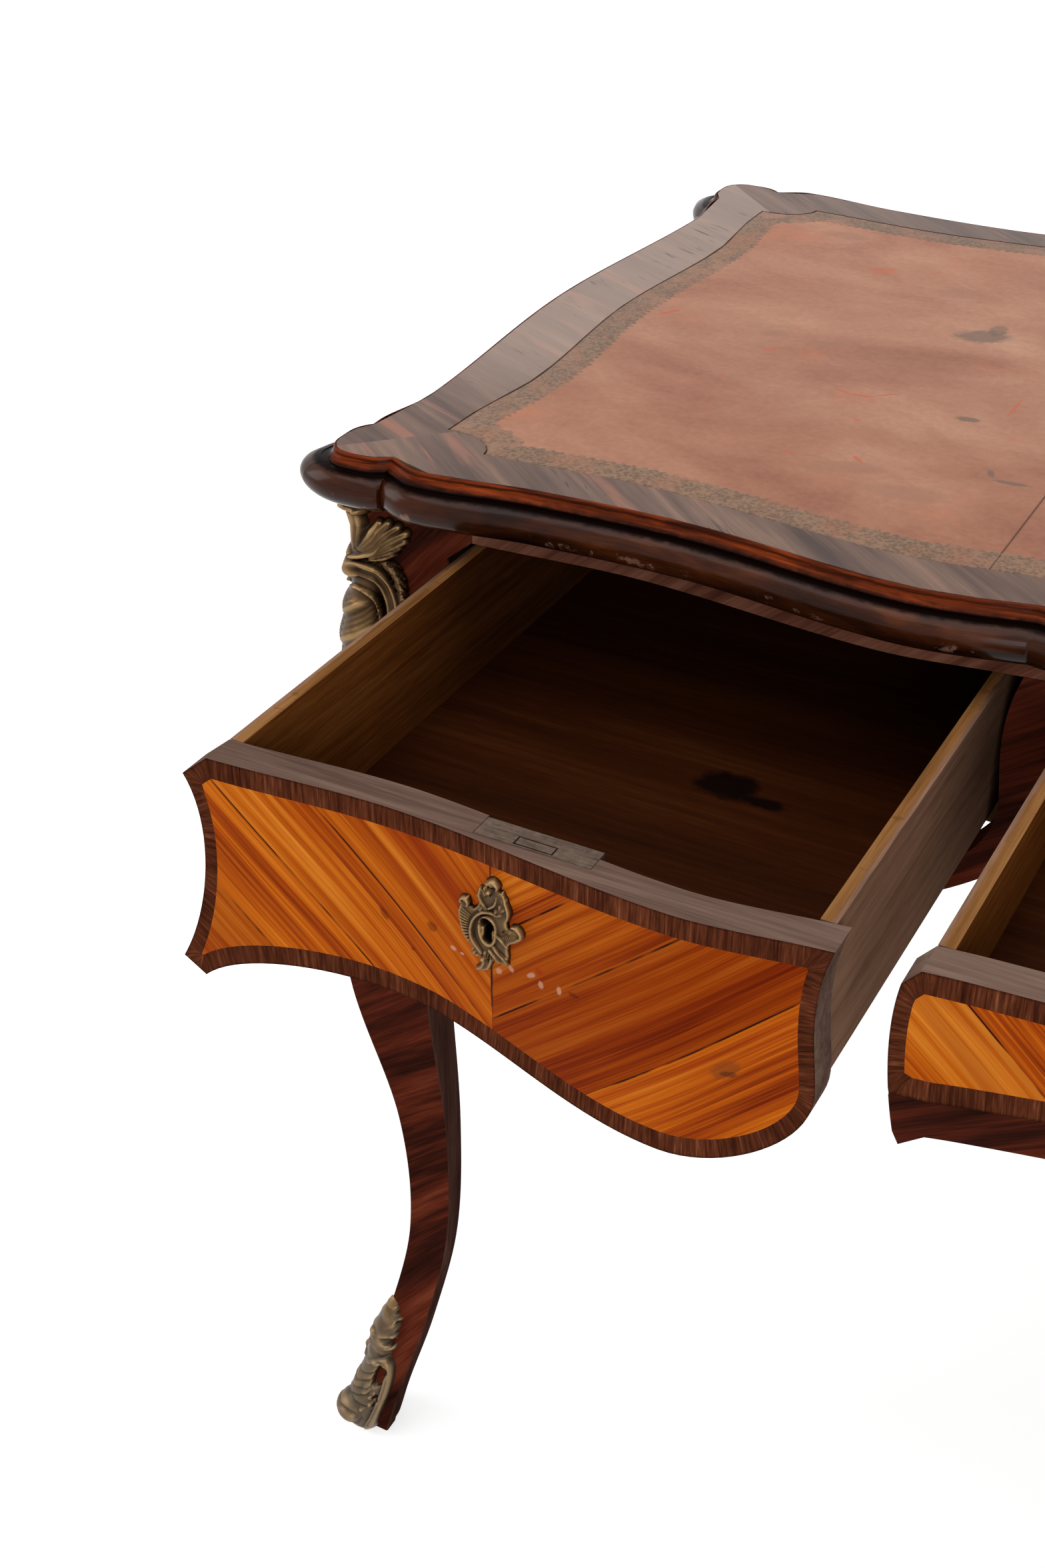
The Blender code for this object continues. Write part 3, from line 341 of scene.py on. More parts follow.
def side_front():
    """Outline of the left drawer front, and where its left edge, bottom and right edge begin."""
    left, width, top = SIDE_LEFT, SIDE_DRAWER_WIDTH, DRAWER_TOP
    low = SIDE_FRONT_DROP

    def at(across, down):
        return (left + across, top - down)

    lobe = low - 0.04 * FLARE
    foot = at(-FLARE, 0.94 * low)
    edge = [at(0.0, 0.0)]
    edge += bezier(at(-0.56 * FLARE, 0.48 * FLARE), at(0.04 * FLARE, 0.28 * low),
                   at(-0.24 * FLARE, 0.67 * low), foot)
    edge.append(foot)
    bottom = bezier(at(-0.52 * FLARE, low), at(0.4 * FLARE, 0.82 * low), at(LOBE, 0.768 * low),
                    at(0.39 * width, 0.81 * low))
    bottom += bezier(at(0.39 * width, 0.81 * low), at(0.525 * width, 0.86 * low), at(0.64 * width, lobe),
                     at(width - LOBE, lobe))
    wide = width + 0.16 * FLARE
    head = width + 0.24 * FLARE
    right = bezier(at(width - LOBE, lobe), at(width - 0.45 * LOBE, lobe), at(wide, 0.8 * low),
                   at(wide, 0.59 * low))
    right += bezier(at(wide, 0.59 * low), at(wide, 0.45 * low), at(width - 0.16 * FLARE, 0.25 * low),
                    at(head, 0.0))
    right.append(at(head, 0.0))
    marks = (0, len(edge), len(edge) + len(bottom))
    return edge + bottom + right, marks


def centre_front():
    """Outline of the middle drawer front, and how many points its left edge has."""
    top, low, half = DRAWER_TOP, CENTRE_FRONT_DROP, -CENTRE_LEFT

    def at(across, down):
        return (CENTRE_LEFT + across, top - down)

    edge = [at(0.0, 0.0)]
    foot = -0.27 * SWELL
    edge += bezier(at(-0.64 * SWELL, 0.73 * SWELL), at(-SWELL, 0.34 * low), at(-0.73 * SWELL, 0.67 * low),
                   at(foot, 0.93 * low))
    edge += [at(foot, 0.93 * low), at(0.0, low)]
    bottom = bezier(at(0.9 * SWELL, 0.92 * low), at(0.25 * half, 0.85 * low), at(0.6 * half, 0.74 * low),
                    at(half, 0.72 * low))
    left = edge + bottom
    return left + [at(half, 0.72 * low)] + [(-x, z) for x, z in reversed(left)], len(edge)


def mirror_x(points):
    return [(-x, z) for x, z in points]


def opening_edges():
    """Edges of the left drawer's opening: beside the leg, along the bottom, beside the divider."""
    outline, marks = side_front()
    loop = offset(outline, RUN)
    return loop[marks[0]:marks[1]], loop[marks[1]:marks[2]], loop[marks[2]:]


def leg_inner_edge():
    """Height and inset of the leg's inner edge beside the drawer opening, from below."""
    return [(z, x + FLAT_X) for x, z in reversed(opening_edges()[0])]


def apron_lower_edge():
    bottom = opening_edges()[1]
    return [(rail_foot(), bottom[0][1] - 0.75 * APRON)] + [(x, z - APRON) for x, z in bottom[1:]]


def rail_foot():
    """Where the apron meets the leg."""
    return -FLAT_X + leg_inner_edge()[0][1] + SEAT


def rail_ends():
    return -FLAT_X + leg_inner_edge()[-1][1] + SEAT


def tail_edge():
    """Foot of the divider, from the middle drawer's lower corner to the end of the tail."""
    start = (CENTRE_LEFT - 2 * RUN, DRAWER_TOP - CENTRE_FRONT_DROP - 2 * RUN)
    end = (SIDE_RIGHT - TAIL, DRAWER_TOP - SIDE_FRONT_DROP - RUN - APRON)
    middle = (SIDE_RIGHT - 0.2 * TAIL, end[1])
    return bezier(start, (SIDE_RIGHT + 0.3 * DIVIDER_GAP, start[1] - 0.013), middle, end) + [end]


def crossing(points, x):
    """Height at which an outline that runs to the right passes x."""
    for (x0, z0), (x1, z1) in zip(points, points[1:]):
        if x0 <= x <= x1:
            return z0 + (z1 - z0) * (x - x0) / (x1 - x0)
    return points[-1][1]


def keyhole(x, z):
    """Round eye with a slot below it, as an outline in x and z."""
    start = math.asin(KEY_SLOT / KEY_ROUND)
    points = [(x + KEY_ROUND * math.sin(a), z - KEY_ROUND * math.cos(a))
              for a in spread(start, 2 * math.pi - start, 20)]
    return points + [(x - KEY_SLOT, z - KEY_LENGTH), (x + KEY_SLOT, z - KEY_LENGTH)]


# Meshes

def in_scene(name, data):
    """New object, linked into the scene."""
    made = bpy.data.objects.new(name, data)
    bpy.context.scene.collection.objects.link(made)
    return made


def piece(name, bm, finishes, body, nodes, opened=0.0, crease=35):
    """Turn a bmesh in the desk's frame into a piece that rides on a body and stands for CAD nodes."""
    bm.normal_update()
    bmesh.ops.recalc_face_normals(bm, faces=bm.faces)
    bmesh.ops.translate(bm, verts=bm.verts, vec=(0.0, SHIFT - opened, 0.0))
    mesh = bpy.data.meshes.new(name)
    bm.to_mesh(mesh)
    bm.free()
    for finish in finishes:
        mesh.materials.append(finish)
    mesh.shade_smooth()
    mesh.set_sharp_from_angle(angle=math.radians(crease))
    made = in_scene(name, mesh)
    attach(made, body)
    if nodes:
        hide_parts(*nodes)


def mapped_face(bm, grain, corners):
    """Face through corners that are given with their run and width, which are kept as coordinates."""
    made = bm.faces.new([vert for vert, _ in corners])
    for loop, (_, place) in zip(made.loops, corners):
        loop[grain].uv = place


def border_strip(bm, grain, runs, outer, inner, beside, low, high):
    """Faces between an outer ring and the points of an inner one that lie beside it."""
    count = len(outer)
    for index in range(count):
        after = (index + 1) % count
        start, end = runs[index], runs[index + 1]
        corners = [(outer[index], (start, low)), (outer[after], (end, low)),
                   (inner[beside[after]], (end, high))]
        if beside[index] != beside[after]:
            corners.append((inner[beside[index]], (start, high)))
        mapped_face(bm, grain, corners)


def loft(sections):
    """Solid through sections with the same number of points, with run and girth kept as coordinates."""
    bm = bmesh.new()
    grain = bm.loops.layers.uv.new("grain")
    rings = [[bm.verts.new(point) for point in section] for section in sections]
    start = 0.0
    for place, (ring, following) in enumerate(zip(rings, rings[1:])):
        end = start + math.dist(centre_of(sections[place]), centre_of(sections[place + 1]))
        girth = 0.0
        for index in range(len(ring)):
            after = (index + 1) % len(ring)
            reach = girth + (ring[after].co - ring[index].co).length
            mapped_face(bm, grain, ((ring[index], (start, girth)), (ring[after], (start, reach)),
                                    (following[after], (end, reach)), (following[index], (end, girth))))
            girth = reach
        start = end
    bm.faces.new(rings[0])
    bm.faces.new(rings[-1])
    return bm


def centre_of(section):
    return tuple(sum(point[axis] for point in section) / len(section) for axis in range(3))


def clearance(point, outline):
    """Distance from a point to a closed outline."""
    start = np.array(outline)
    along = np.roll(start, -1, axis=0) - start
    share = ((np.array(point) - start) * along).sum(1) / (along ** 2).sum(1)
    nearest = start + along * np.clip(share, 0.0, 1.0)[:, None]
    return float(np.sqrt(((np.array(point) - nearest) ** 2).sum(1)).min())


def inset_loop(points, distance):
    """Inset of an outline as its own points, and for each outer point the inner point beside it.
    Where a true inset would cross itself, neighbours share a point."""
    moved = offset(points, -distance)
    sound = [index for index, p in enumerate(moved) if clearance(p, points) > 0.999 * distance]
    count = len(points)
    beside = []
    for index in range(count):
        gaps = [min(abs(index - s), count - abs(index - s)) for s in sound]
        beside.append(gaps.index(min(gaps)))
    return [moved[index] for index in sound], beside


def slice_at(bm, x, side=1.0, **settings):
    """Cut a bmesh along a plane square to x."""
    return bmesh.ops.bisect_plane(bm, geom=bm.verts[:] + bm.edges[:] + bm.faces[:], dist=1e-6,
                                  plane_co=(x, 0.0, 0.0), plane_no=(side, 0.0, 0.0), **settings)


def veneered_board(outline, front, back, band=0.0):
    """Board with an outline in x and z whose faces follow front(x) and back(x).
    A crossband of the given width runs round its face, with run and width kept as coordinates."""
    outline = dense(outline)
    bm = bmesh.new()
    grain = bm.loops.layers.uv.new("grain")
    outer = [bm.verts.new((x, z, 0.0)) for x, z in outline]
    panel = outer
    if band:
        stretch = BAND / BAND_ENDS
        inner_points, beside = inset_loop([(stretch * x, z) for x, z in outline], band)
        panel = [bm.verts.new((x / stretch, z, 0.0)) for x, z in inner_points]
        border_strip(bm, grain, runs_of(outline), outer, panel, beside, 0.0, band)
    bm.faces.new(panel).material_index = PANEL_FACE
    raised = bmesh.ops.extrude_face_region(bm, geom=bm.faces[:])["geom"]
    raised = [vert for vert in raised if isinstance(vert, bmesh.types.BMVert)]
    bmesh.ops.translate(bm, verts=raised, vec=(0.0, 0.0, 1.0))
    bm.normal_update()
    for face in bm.faces:
        if abs(face.normal.z) < 0.5:
            face.material_index = EDGE_FACE
        elif face.calc_center_median().z > 0.5:
            face.material_index = REAR_FACE
    bmesh.ops.triangulate(bm, faces=bm.faces)
    low, high = min(outline)[0], max(outline)[0]
    for x in spread(low, high, max(2, round((high - low) / SLICE)))[1:-1]:
        slice_at(bm, x)
    bmesh.ops.remove_doubles(bm, verts=bm.verts, dist=2e-5)
    bmesh.ops.dissolve_degenerate(bm, edges=bm.edges, dist=1e-6)
    bmesh.ops.triangulate(bm, faces=bm.faces)
    for vert in bm.verts:
        x, z, side = vert.co
        vert.co = (x, front(x) if side < 0.5 else back(x), z)
    return bm


def shape_box(*spans):
    """Box between a low and a high value along each axis."""
    bm = bmesh.new()
    bmesh.ops.create_cube(bm, size=1.0)
    for vert in bm.verts:
        vert.co = [(low + high) / 2 + part * (high - low) for part, (low, high) in zip(vert.co, spans)]
    return bm


def cut(bm, *cutters):
    """Take closed shapes away from a bmesh and give the result as a new one."""
    objects = []
    for index, shape in enumerate((bm,) + cutters):
        shape.normal_update()
        bmesh.ops.recalc_face_normals(shape, faces=shape.faces)
        mesh = bpy.data.meshes.new("cut_{}".format(index))
        shape.to_mesh(mesh)
        shape.free()
        objects.append(in_scene("cut_{}".format(index), mesh))
    for cutter in objects[1:]:
        modifier = objects[0].modifiers.new("Cut", "BOOLEAN")
        modifier.operation = "DIFFERENCE"
        modifier.solver = "EXACT"
        modifier.object = cutter
    bpy.context.view_layer.update()
    result = bmesh.new()
    result.from_object(objects[0], bpy.context.evaluated_depsgraph_get())
    for thing in objects:
        mesh = thing.data
        bpy.data.objects.remove(thing)
        bpy.data.meshes.remove(mesh)
    return result


# Materials

def tone(colour):
    """Screen colour, each part from 0 to 255, as a shader colour."""
    parts = [c / 255 / 12.92 if c <= 10 else ((c / 255 + 0.055) / 1.055) ** 2.4 for c in colour]
    return (*parts, 1.0)


def leaning(x, y, degrees):
    """Distances along and across a direction that leans by the angle from x towards y."""
    angle = math.radians(degrees)
    return x * math.cos(angle) + y * math.sin(angle), y * math.cos(angle) - x * math.sin(angle)


class Value:
    """What a node gives, with the usual signs for sums, products and comparisons."""

    def __init__(self, nodes, socket):
        self.nodes = nodes
        self.socket = socket

    def __add__(self, other):
        return self.nodes.math("ADD", self, other)

    def __sub__(self, other):
        return self.nodes.math("SUBTRACT", self, other)

    def __rsub__(self, other):
        return self.nodes.math("SUBTRACT", other, self)

    def __mul__(self, other):
        return self.nodes.math("MULTIPLY", self, other)

    def __gt__(self, other):
        return self.nodes.math("GREATER_THAN", self, other)

    def __abs__(self):
        return self.nodes.math("ABSOLUTE", self)

    def window(self, low, high):
        """Smooth step from 0 at low to 1 at high."""
        return self.nodes.value("ShaderNodeMapRange", self, low, high, 0.0, 1.0,
                                interpolation_type="SMOOTHSTEP")


class Nodes:
    """Nodes of a material or of the world. What goes into one may be a number, a colour or a Value."""

    def __init__(self, tree):
        self.tree = tree

    def put(self, socket, value):
        if isinstance(value, Value):
            self.tree.links.new(value.socket, socket)
        else:
            socket.default_value = value

    def node(self, kind, *values, **settings):
        made = self.tree.nodes.new(kind)
        for name, value in settings.items():
            setattr(made, name, value)
        for socket, value in zip(made.inputs, values):
            self.put(socket, value)
        return made

    def value(self, kind, *values, output=0, **settings):
        return Value(self, self.node(kind, *values, **settings).outputs[output])

    def fill(self, node, **inputs):
        """Set what goes into a node, by name."""
        for name, value in inputs.items():
            self.put(node.inputs[name.replace("_", " ")], value)
        return Value(self, node.outputs[0])

    def math(self, operation, *values):
        return self.value("ShaderNodeMath", *values, operation=operation)

    def seen(self):
        """1 for rays from the camera, from mirrors and through glass, 0 for those that carry light."""
        rays = self.node("ShaderNodeLightPath").outputs
        share = 0.0
        for kind in ("Is Camera Ray", "Is Glossy Ray", "Is Transmission Ray"):
            share = self.math("MAXIMUM", Value(self, rays[kind]), share)
        return share


class Finish(Nodes):
    """A material being put together, with the colour that it has so far."""

    def __init__(self, name):
        self.material = bpy.data.materials.new(name)
        self.material.use_nodes = True
        super().__init__(self.material.node_tree)
        self.shader = self.tree.nodes["Principled BSDF"]
        self.colour = None

    def parts(self, vector):
        return [Value(self, socket) for socket in self.node("ShaderNodeSeparateXYZ", vector).outputs]

    def place(self, kind="Object"):
        """Place on the object, as three numbers."""
        return self.parts(self.value("ShaderNodeTexCoord", output=kind))

    def unrolled(self):
        """Run and width along a strip."""
        return self.parts(self.value("ShaderNodeUVMap", uv_map="grain"))[:2]

    def facing(self):
        """Parts of the surface's own direction."""
        return self.parts(self.value("ShaderNodeNewGeometry", output="True Normal"))

    def vector(self, x, y, z=0.0):
        return self.value("ShaderNodeCombineXYZ", x, y, z)

    def noise(self, vector, scale, detail=3.0, rough=0.5, warp=0.0):
        """Noise, with one scale or with one for each part of the vector."""
        if isinstance(scale, tuple):
            vector = self.value("ShaderNodeVectorMath", vector, scale, operation="MULTIPLY")
            scale = 1.0
        return self.fill(self.node("ShaderNodeTexNoise"), Vector=vector, Scale=scale, Detail=detail,
                         Roughness=rough, Distortion=warp)

    def cells(self, vector, scale):
        """Distance to the nearest of many scattered points."""
        return self.fill(self.node("ShaderNodeTexVoronoi"), Vector=vector, Scale=scale)

    def ramp(self, value, *stops):
        """Colour read off a row of places, each with its red, green and blue."""
        made = self.node("ShaderNodeValToRGB", value)
        elements = made.color_ramp.elements
        while len(elements) < len(stops):
            elements.new(0.5)
        for element, (position, *colour) in zip(elements, stops):
            element.position = position
            element.color = tone(colour)
        return Value(self, made.outputs[0])

    def wood(self, vector, stops, broad=(3.0, 42.0), streak=(9.0, 230.0), fine=(40.0, 1000.0),
             weights=(0.5, 0.33, 0.17)):
        """Colour and height of wood whose grain runs along the vector's first part."""
        figure = self.noise(vector, (*broad, broad[1]), 3.0, 0.55, 0.7)
        lines = self.noise(vector, (*streak, streak[1]), 4.0, 0.6, 0.2)
        pores = self.noise(vector, (*fine, fine[1]), 2.0, 0.6)
        value = figure * weights[0] + lines * weights[1] + pores * weights[2]
        return self.ramp(value, *stops), lines * 0.4 + pores * 0.6

    def mix(self, share, a, b, blend="MIX"):
        made = self.node("ShaderNodeMix", share, data_type="RGBA", blend_type=blend)
        for index, colour in ((6, a), (7, b)):
            self.put(made.inputs[index], colour if isinstance(colour, Value) else tone(colour))
        return Value(self, made.outputs[2])

    def lay(self, share, colour, blend="MIX"):
        """Lay a colour over the one so far."""
        self.colour = self.mix(share, self.colour, colour, blend)

    def choose(self, share, a, b):
        """Number that is a where share is 0 and b where it is 1."""
        made = self.node("ShaderNodeMix", share)
        self.put(made.inputs[2], a)
        self.put(made.inputs[3], b)
        return Value(self, made.outputs[0])

    def stain(self, x, y, ragged, marks):
        """Lay uneven blots. Marks go by colour, each with rows of two places, half length and half width in
        millimetres, lean in degrees and strength."""
        for colour, rows in marks:
            for at_x, at_y, long, wide, lean, strength in rows:
                along, over = leaning(x - 0.001 * at_x, y - 0.001 * at_y, lean)
                along, over = along * (1000 / long), over * (1000 / wide)
                reach = self.math("SQRT", along * along + over * over)
                self.lay((ragged * 0.9 - reach - 0.45).window(-1.0, -0.55) * strength, colour)

    def done(self, roughness, shine=0.5, height=None, depth=0.0002, strength=0.35, metallic=0.0):
        self.fill(self.shader, Base_Color=self.colour, Roughness=roughness, Metallic=metallic,
                  Specular_IOR_Level=shine)
        if height is not None:
            bump = self.fill(self.node("ShaderNodeBump"), Strength=strength, Distance=depth, Height=height)
            self.fill(self.shader, Normal=bump)
        return self.material


# Colours of the woods, from the dark of the grain to its light
KINGWOOD = ((0.34, 30, 14, 11), (0.45, 56, 25, 18), (0.54, 86, 36, 23), (0.66, 116, 56, 37))
KINGWOOD_INNER = ((0.34, 42, 25, 21), (0.46, 64, 41, 35), (0.56, 82, 55, 47), (0.68, 104, 74, 64))
# Lighter copy of the kingwood for the rail: painted light, so that the rail in the moulded edge's shadow
# looks lit.
KINGWOOD_RAIL_PAINTED_LIGHT = ((0.34, 62, 34, 27), (0.45, 94, 55, 42), (0.55, 122, 78, 61), (0.68, 148, 102, 83))
KINGWOOD_TOP = ((0.36, 58, 36, 28), (0.45, 86, 60, 48), (0.54, 106, 79, 64), (0.66, 138, 103, 84))
CROSSBAND = ((0.34, 36, 15, 10), (0.46, 68, 33, 20), (0.56, 96, 50, 31), (0.68, 136, 82, 56))
TULIPWOOD = ((0.37, 108, 31, 4), (0.45, 160, 66, 9), (0.53, 196, 99, 16), (0.64, 224, 138, 44))
FRONT_EDGE = ((0.33, 76, 57, 49), (0.5, 110, 87, 76), (0.68, 138, 114, 102))
HALF_ROUND_WOOD = ((0.34, 20, 8, 3), (0.46, 40, 17, 7), (0.56, 62, 28, 11), (0.68, 94, 47, 20))
CAVETTO_WOOD = ((0.36, 40, 15, 8), (0.46, 74, 29, 12), (0.56, 114, 46, 17), (0.68, 160, 70, 25))
SIDE_INSIDE = ((0.32, 46, 22, 9), (0.5, 104, 57, 22), (0.7, 138, 88, 44))
SIDE_OUTSIDE = ((0.32, 88, 64, 50), (0.5, 138, 104, 83), (0.7, 166, 130, 106))
SIDE_TOP = ((0.32, 84, 53, 26), (0.5, 132, 89, 50), (0.7, 166, 121, 76))
DARK_LINING = ((0.30, 26, 10, 3), (0.5, 48, 20, 6), (0.72, 70, 36, 13))
OAK = ((0.32, 60, 42, 26), (0.5, 98, 72, 48), (0.7, 130, 100, 70))

# Joints between the leaves of the tulipwood, left and right of the seam: distance across the grain, and by
# how much the next leaf is lighter or darker
DRAWER_SEAM = 0.3865
LEFT_LEAN = -45.4
RIGHT_LEAN = 42.5
LEAVES_LEFT = ((0.352, 0.5), (0.394, -0.1), (0.4319, -0.1))
LEAVES_RIGHT = ((0.4122, -0.80), (0.4593, 0.36), (0.4927, 0.2))
LEAVES_MANY = ((0.1, 0.3),) + tuple((0.271 + 0.047 * leaf, -0.2 if leaf % 2 else 0.2) for leaf in range(9))

# Knots, dents and chips of the left drawer front, in x and z
FRONT_MARKS = (
    ((72, 18, 8), ((-443.1, 658.0, 2.0, 4.6, 30, 0.5), (-417.8, 660.5, 3.2, 3.4, 0, 0.5),
                   (-428.5, 643.7, 1.4, 1.2, 0, 0.5), (-344.4, 656.2, 3.2, 1.5, 0, 0.5))),
    ((150, 38, 16), ((-361.7, 660.8, 2.6, 2.2, 0, 0.5),)),
    ((112, 58, 26), ((-274.0, 644.5, 9.0, 5.0, 40, 0.5),)),
    ((52, 30, 20), ((-272.8, 642.5, 4.6, 2.0, 10, 0.5),)),
    ((206, 166, 140), ((-406.8, 653.3, 2.0, 1.6, 0, 0.5), (-402.1, 652.3, 1.4, 0.9, 0, 0.5),
                       (-382.6, 651.6, 2.4, 1.8, 45, 0.5), (-376.2, 655.7, 1.6, 2.2, 40, 0.5),
                       (-365.8, 657.0, 3.0, 1.6, 40, 0.5), (-360.8, 654.0, 1.6, 2.6, 0, 0.5),
                       (-351.5, 655.3, 1.4, 2.8, 0, 0.5))))

# Ink spilt in the drawers, in x and y
SPILT_INK = (((8, 4, 3), ((-358, -190, 20, 15, 0, 0.9), (-337, -196, 16, 6, 0, 0.9))),)

# Ink, scratches and dull patches of the leather, in x and y
LEATHER_MARKS = (
    ((106, 88, 76), ((-354.0, 156.0, 20.0, 12.5, 25, 0.75), (-349.0, 169.0, 7.0, 12.0, 0, 0.6),
                     (-323.0, 32.5, 8.8, 4.2, 10, 0.8), (-290.5, -29.0, 2.2, 6.2, 25, 0.8),
                     (-278.0, -35.5, 12.0, 2.6, 4, 0.8))),
    ((188, 90, 58), ((-397.0, 37.2, 7.5, 1.1, -17, 0.9), (-385.5, 36.3, 7.0, 1.1, 8, 0.9),
                     (-372.5, 44.5, 11.0, 1.1, 43, 0.8), (-455.5, 77.0, 9.0, 1.4, 58, 0.8),
                     (-305.3, 60.0, 18.0, 1.2, 90, 0.7), (-534.0, 104.0, 11.0, 2.2, 62, 0.8),
                     (-374.9, 3.3, 2.4, 1.8, 0, 0.8), (-356.7, -44.7, 6.0, 1.6, -40, 0.8),
                     (-392.4, -54.1, 3.2, 1.4, 0, 0.8), (-456.2, -16.8, 1.6, 2.2, 0, 0.7),
                     (-465.5, 28.0, 1.6, 2.4, 0, 0.7), (-445.3, 237.1, 11.0, 7.5, 20, 0.45))),
    ((150, 106, 85), ((-464.2, 101.5, 12.0, 7.0, 20, 0.6), (-429.4, 100.1, 13.0, 8.0, 30, 0.5),
                      (-359.4, -56.9, 28.0, 9.0, 20, 0.55), (-320.5, -72.0, 28.0, 11.0, 10, 0.55),
                      (-389.8, 220.6, 20.0, 11.0, 20, 0.5), (-492.0, 292.1, 19.0, 9.0, 0, 0.5))))


def kingwood(name, lean, plane="front", stops=KINGWOOD):
    """Dark veneer with slanting grain, on a face at the front or at an end."""
    finish = Finish(name)
    x, y, z = finish.place()
    vector = finish.vector(*leaning(x if plane == "front" else y, z, lean))
    finish.colour, height = finish.wood(vector, stops, (5.0, 55.0))
    return finish.done(0.30, 0.0, height)


def leg_veneer(name, x_sign, y_sign):
    """Slanting veneer on a leg's two outer faces, duller wood with upright grain on the inner ones."""
    finish = Finish(name)
    x, y, z = finish.place()
    vector = finish.vector(*leaning(x * -x_sign + y * -y_sign, z, 45.0))
    outside, height = finish.wood(vector, KINGWOOD, (5.0, 50.0))
    inside, _ = finish.wood(finish.vector(z, x, y), KINGWOOD_INNER, (3.0, 40.0))
    facing = finish.facing()
    inward = finish.math("MAXIMUM", facing[0] * -x_sign, facing[1] * -y_sign)
    finish.colour = finish.mix(inward.window(0.3, 0.6), outside, inside)
    return finish.done(0.30, 0.0, height)


def laid_leaves(finish, over, joints, shade):
    """Shade of the leaf at a distance across the grain, and the gap to the nearest joint."""
    gap = 1.0
    for place, change in joints:
        beyond = over - place
        shade = (beyond > 0.0) * change + shade
        gap = finish.math("MINIMUM", gap, abs(beyond))
    return shade, gap


def chevron(name, seam, plane="front", hand=1, left=LEAVES_MANY, right=LEAVES_MANY, marks=()):
    """Orange veneer in two slopes that meet at a seam, laid in leaves side by side."""
    finish = Finish(name)
    x, y, z = finish.place()
    across = (x if plane == "front" else y) * hand - seam * hand
    is_right = across > 0.0
    halves = []
    for lean, joints, shade in ((LEFT_LEAN, left, 0.5), (RIGHT_LEAN, right, 0.95)):
        along, over = leaning(across, z, lean)
        halves.append((along, over) + laid_leaves(finish, over, joints, shade))
    along, over, shade, gap = [finish.choose(is_right, a, b) for a, b in zip(*halves)]
    vector = finish.vector(along + shade * 9.0, over, is_right * 0.7 + shade * 0.6)
    finish.colour, height = finish.wood(vector, TULIPWOOD, (1.6, 46.0), (4.0, 300.0), (18.0, 1300.0),
                                        (0.45, 0.36, 0.19))
    flame = finish.noise(vector, (2.2, 26.0, 26.0), 3.0, 0.6, 0.8).window(0.50, 0.66)
    finish.lay(flame * 0.45, (150, 50, 8))
    finish.lay(1.0, finish.ramp(shade, (0.0, 178, 134, 116), (1.0, 255, 255, 255)), "MULTIPLY")
    line = finish.math("MAXIMUM", gap.window(0.0007, 0.0002), abs(across).window(0.0008, 0.0003))
    line = line * finish.noise(finish.vector(along, over), 40.0, 2.0).window(0.36, 0.62)
    finish.lay(line, (44, 14, 6))
    finish.stain(x, z, finish.noise(finish.vector(x, z), 600.0, 4.0, 0.7), marks)
    return finish.done(0.28, 0.02, height - line * 2.0, strength=0.3)


def crossband():
    """Dark strip with its grain square to the edge."""
    finish = Finish("crossband")
    run, width = finish.unrolled()
    finish.colour, height = finish.wood(finish.vector(width, run), CROSSBAND, (20.0, 60.0), (30.0, 480.0),
                                        (80.0, 1300.0), (0.25, 0.45, 0.3))
    rim = width.window(0.0016, 0.0) * finish.noise(finish.vector(run, width), 300.0, 2.0)
    finish.lay(rim, (20, 8, 6))
    return finish.done(0.36, 0.0, height, 0.0004, 0.6)


def front_edge():
    """Worn grey-brown edge of a drawer front, seen from above."""
    finish = Finish("front_edge")
    finish.colour, height = finish.wood(finish.vector(*finish.place()), FRONT_EDGE, streak=(12.0, 300.0))
    return finish.done(0.45, 0.0, height, strength=0.4)


def lining(name, stops, roughness=0.5, marks=()):
    """Bare wood of the drawers and the case, with its grain along x."""
    finish = Finish(name)
    x, y, z = finish.place()
    finish.colour, height = finish.wood(finish.vector(x, y, z), stops, (2.5, 25.0), (8.0, 260.0),
                                        (55.0, 1400.0), (0.45, 0.3, 0.25))
    finish.stain(x, y, finish.noise(finish.vector(x, y), 90.0, 4.0, 0.6), marks)
    return finish.done(roughness, 0.02, height, 0.0003, 0.5)


def drawer_side(name, inward):
    """Drawer side: tan worn top edge, grey-brown outside, warmer brown inside, and painted shade that darkens
    it towards its rear.
    The inside faces along x where inward is 1, against it where it is -1."""
    finish = Finish(name)
    x, y, z = finish.place()
    upright = finish.vector(y, z, x)
    grain = ((2.5, 30.0), (8.0, 260.0), (55.0, 1400.0), (0.42, 0.3, 0.28))
    inside, height = finish.wood(upright, SIDE_INSIDE, *grain)
    outside, _ = finish.wood(upright, SIDE_OUTSIDE, *grain)
    top, _ = finish.wood(finish.vector(y, x, z), SIDE_TOP, (6.0, 60.0))
    facing = finish.facing()
    finish.colour = finish.mix((facing[0] * inward).window(0.3, 0.7), outside, inside)
    across, shaded_depth, _ = finish.place("Generated")
    across = across if inward > 0 else 1.0 - across
    # Painted shade: the side darkens towards its rear, where the case shades it in the picture.
    finish.lay(shaded_depth.window(0.22, 0.52) * 0.62, (30, 14, 6))
    uneven = finish.noise(finish.vector(y, z), 60.0, 4.0, 0.65)
    kept = (across + uneven * 0.5 - 0.25).window(0.16, 0.40)
    flecks = finish.noise(finish.vector(y, x), (160.0, 60.0, 60.0), 3.0, 0.6).window(0.60, 0.70)
    top = finish.mix(flecks * 0.4, top, (86, 52, 26))
    finish.lay(facing[2].window(0.5, 0.7) * kept, top)
    return finish.done(0.5, 0.0, height, 0.0003, 0.5)


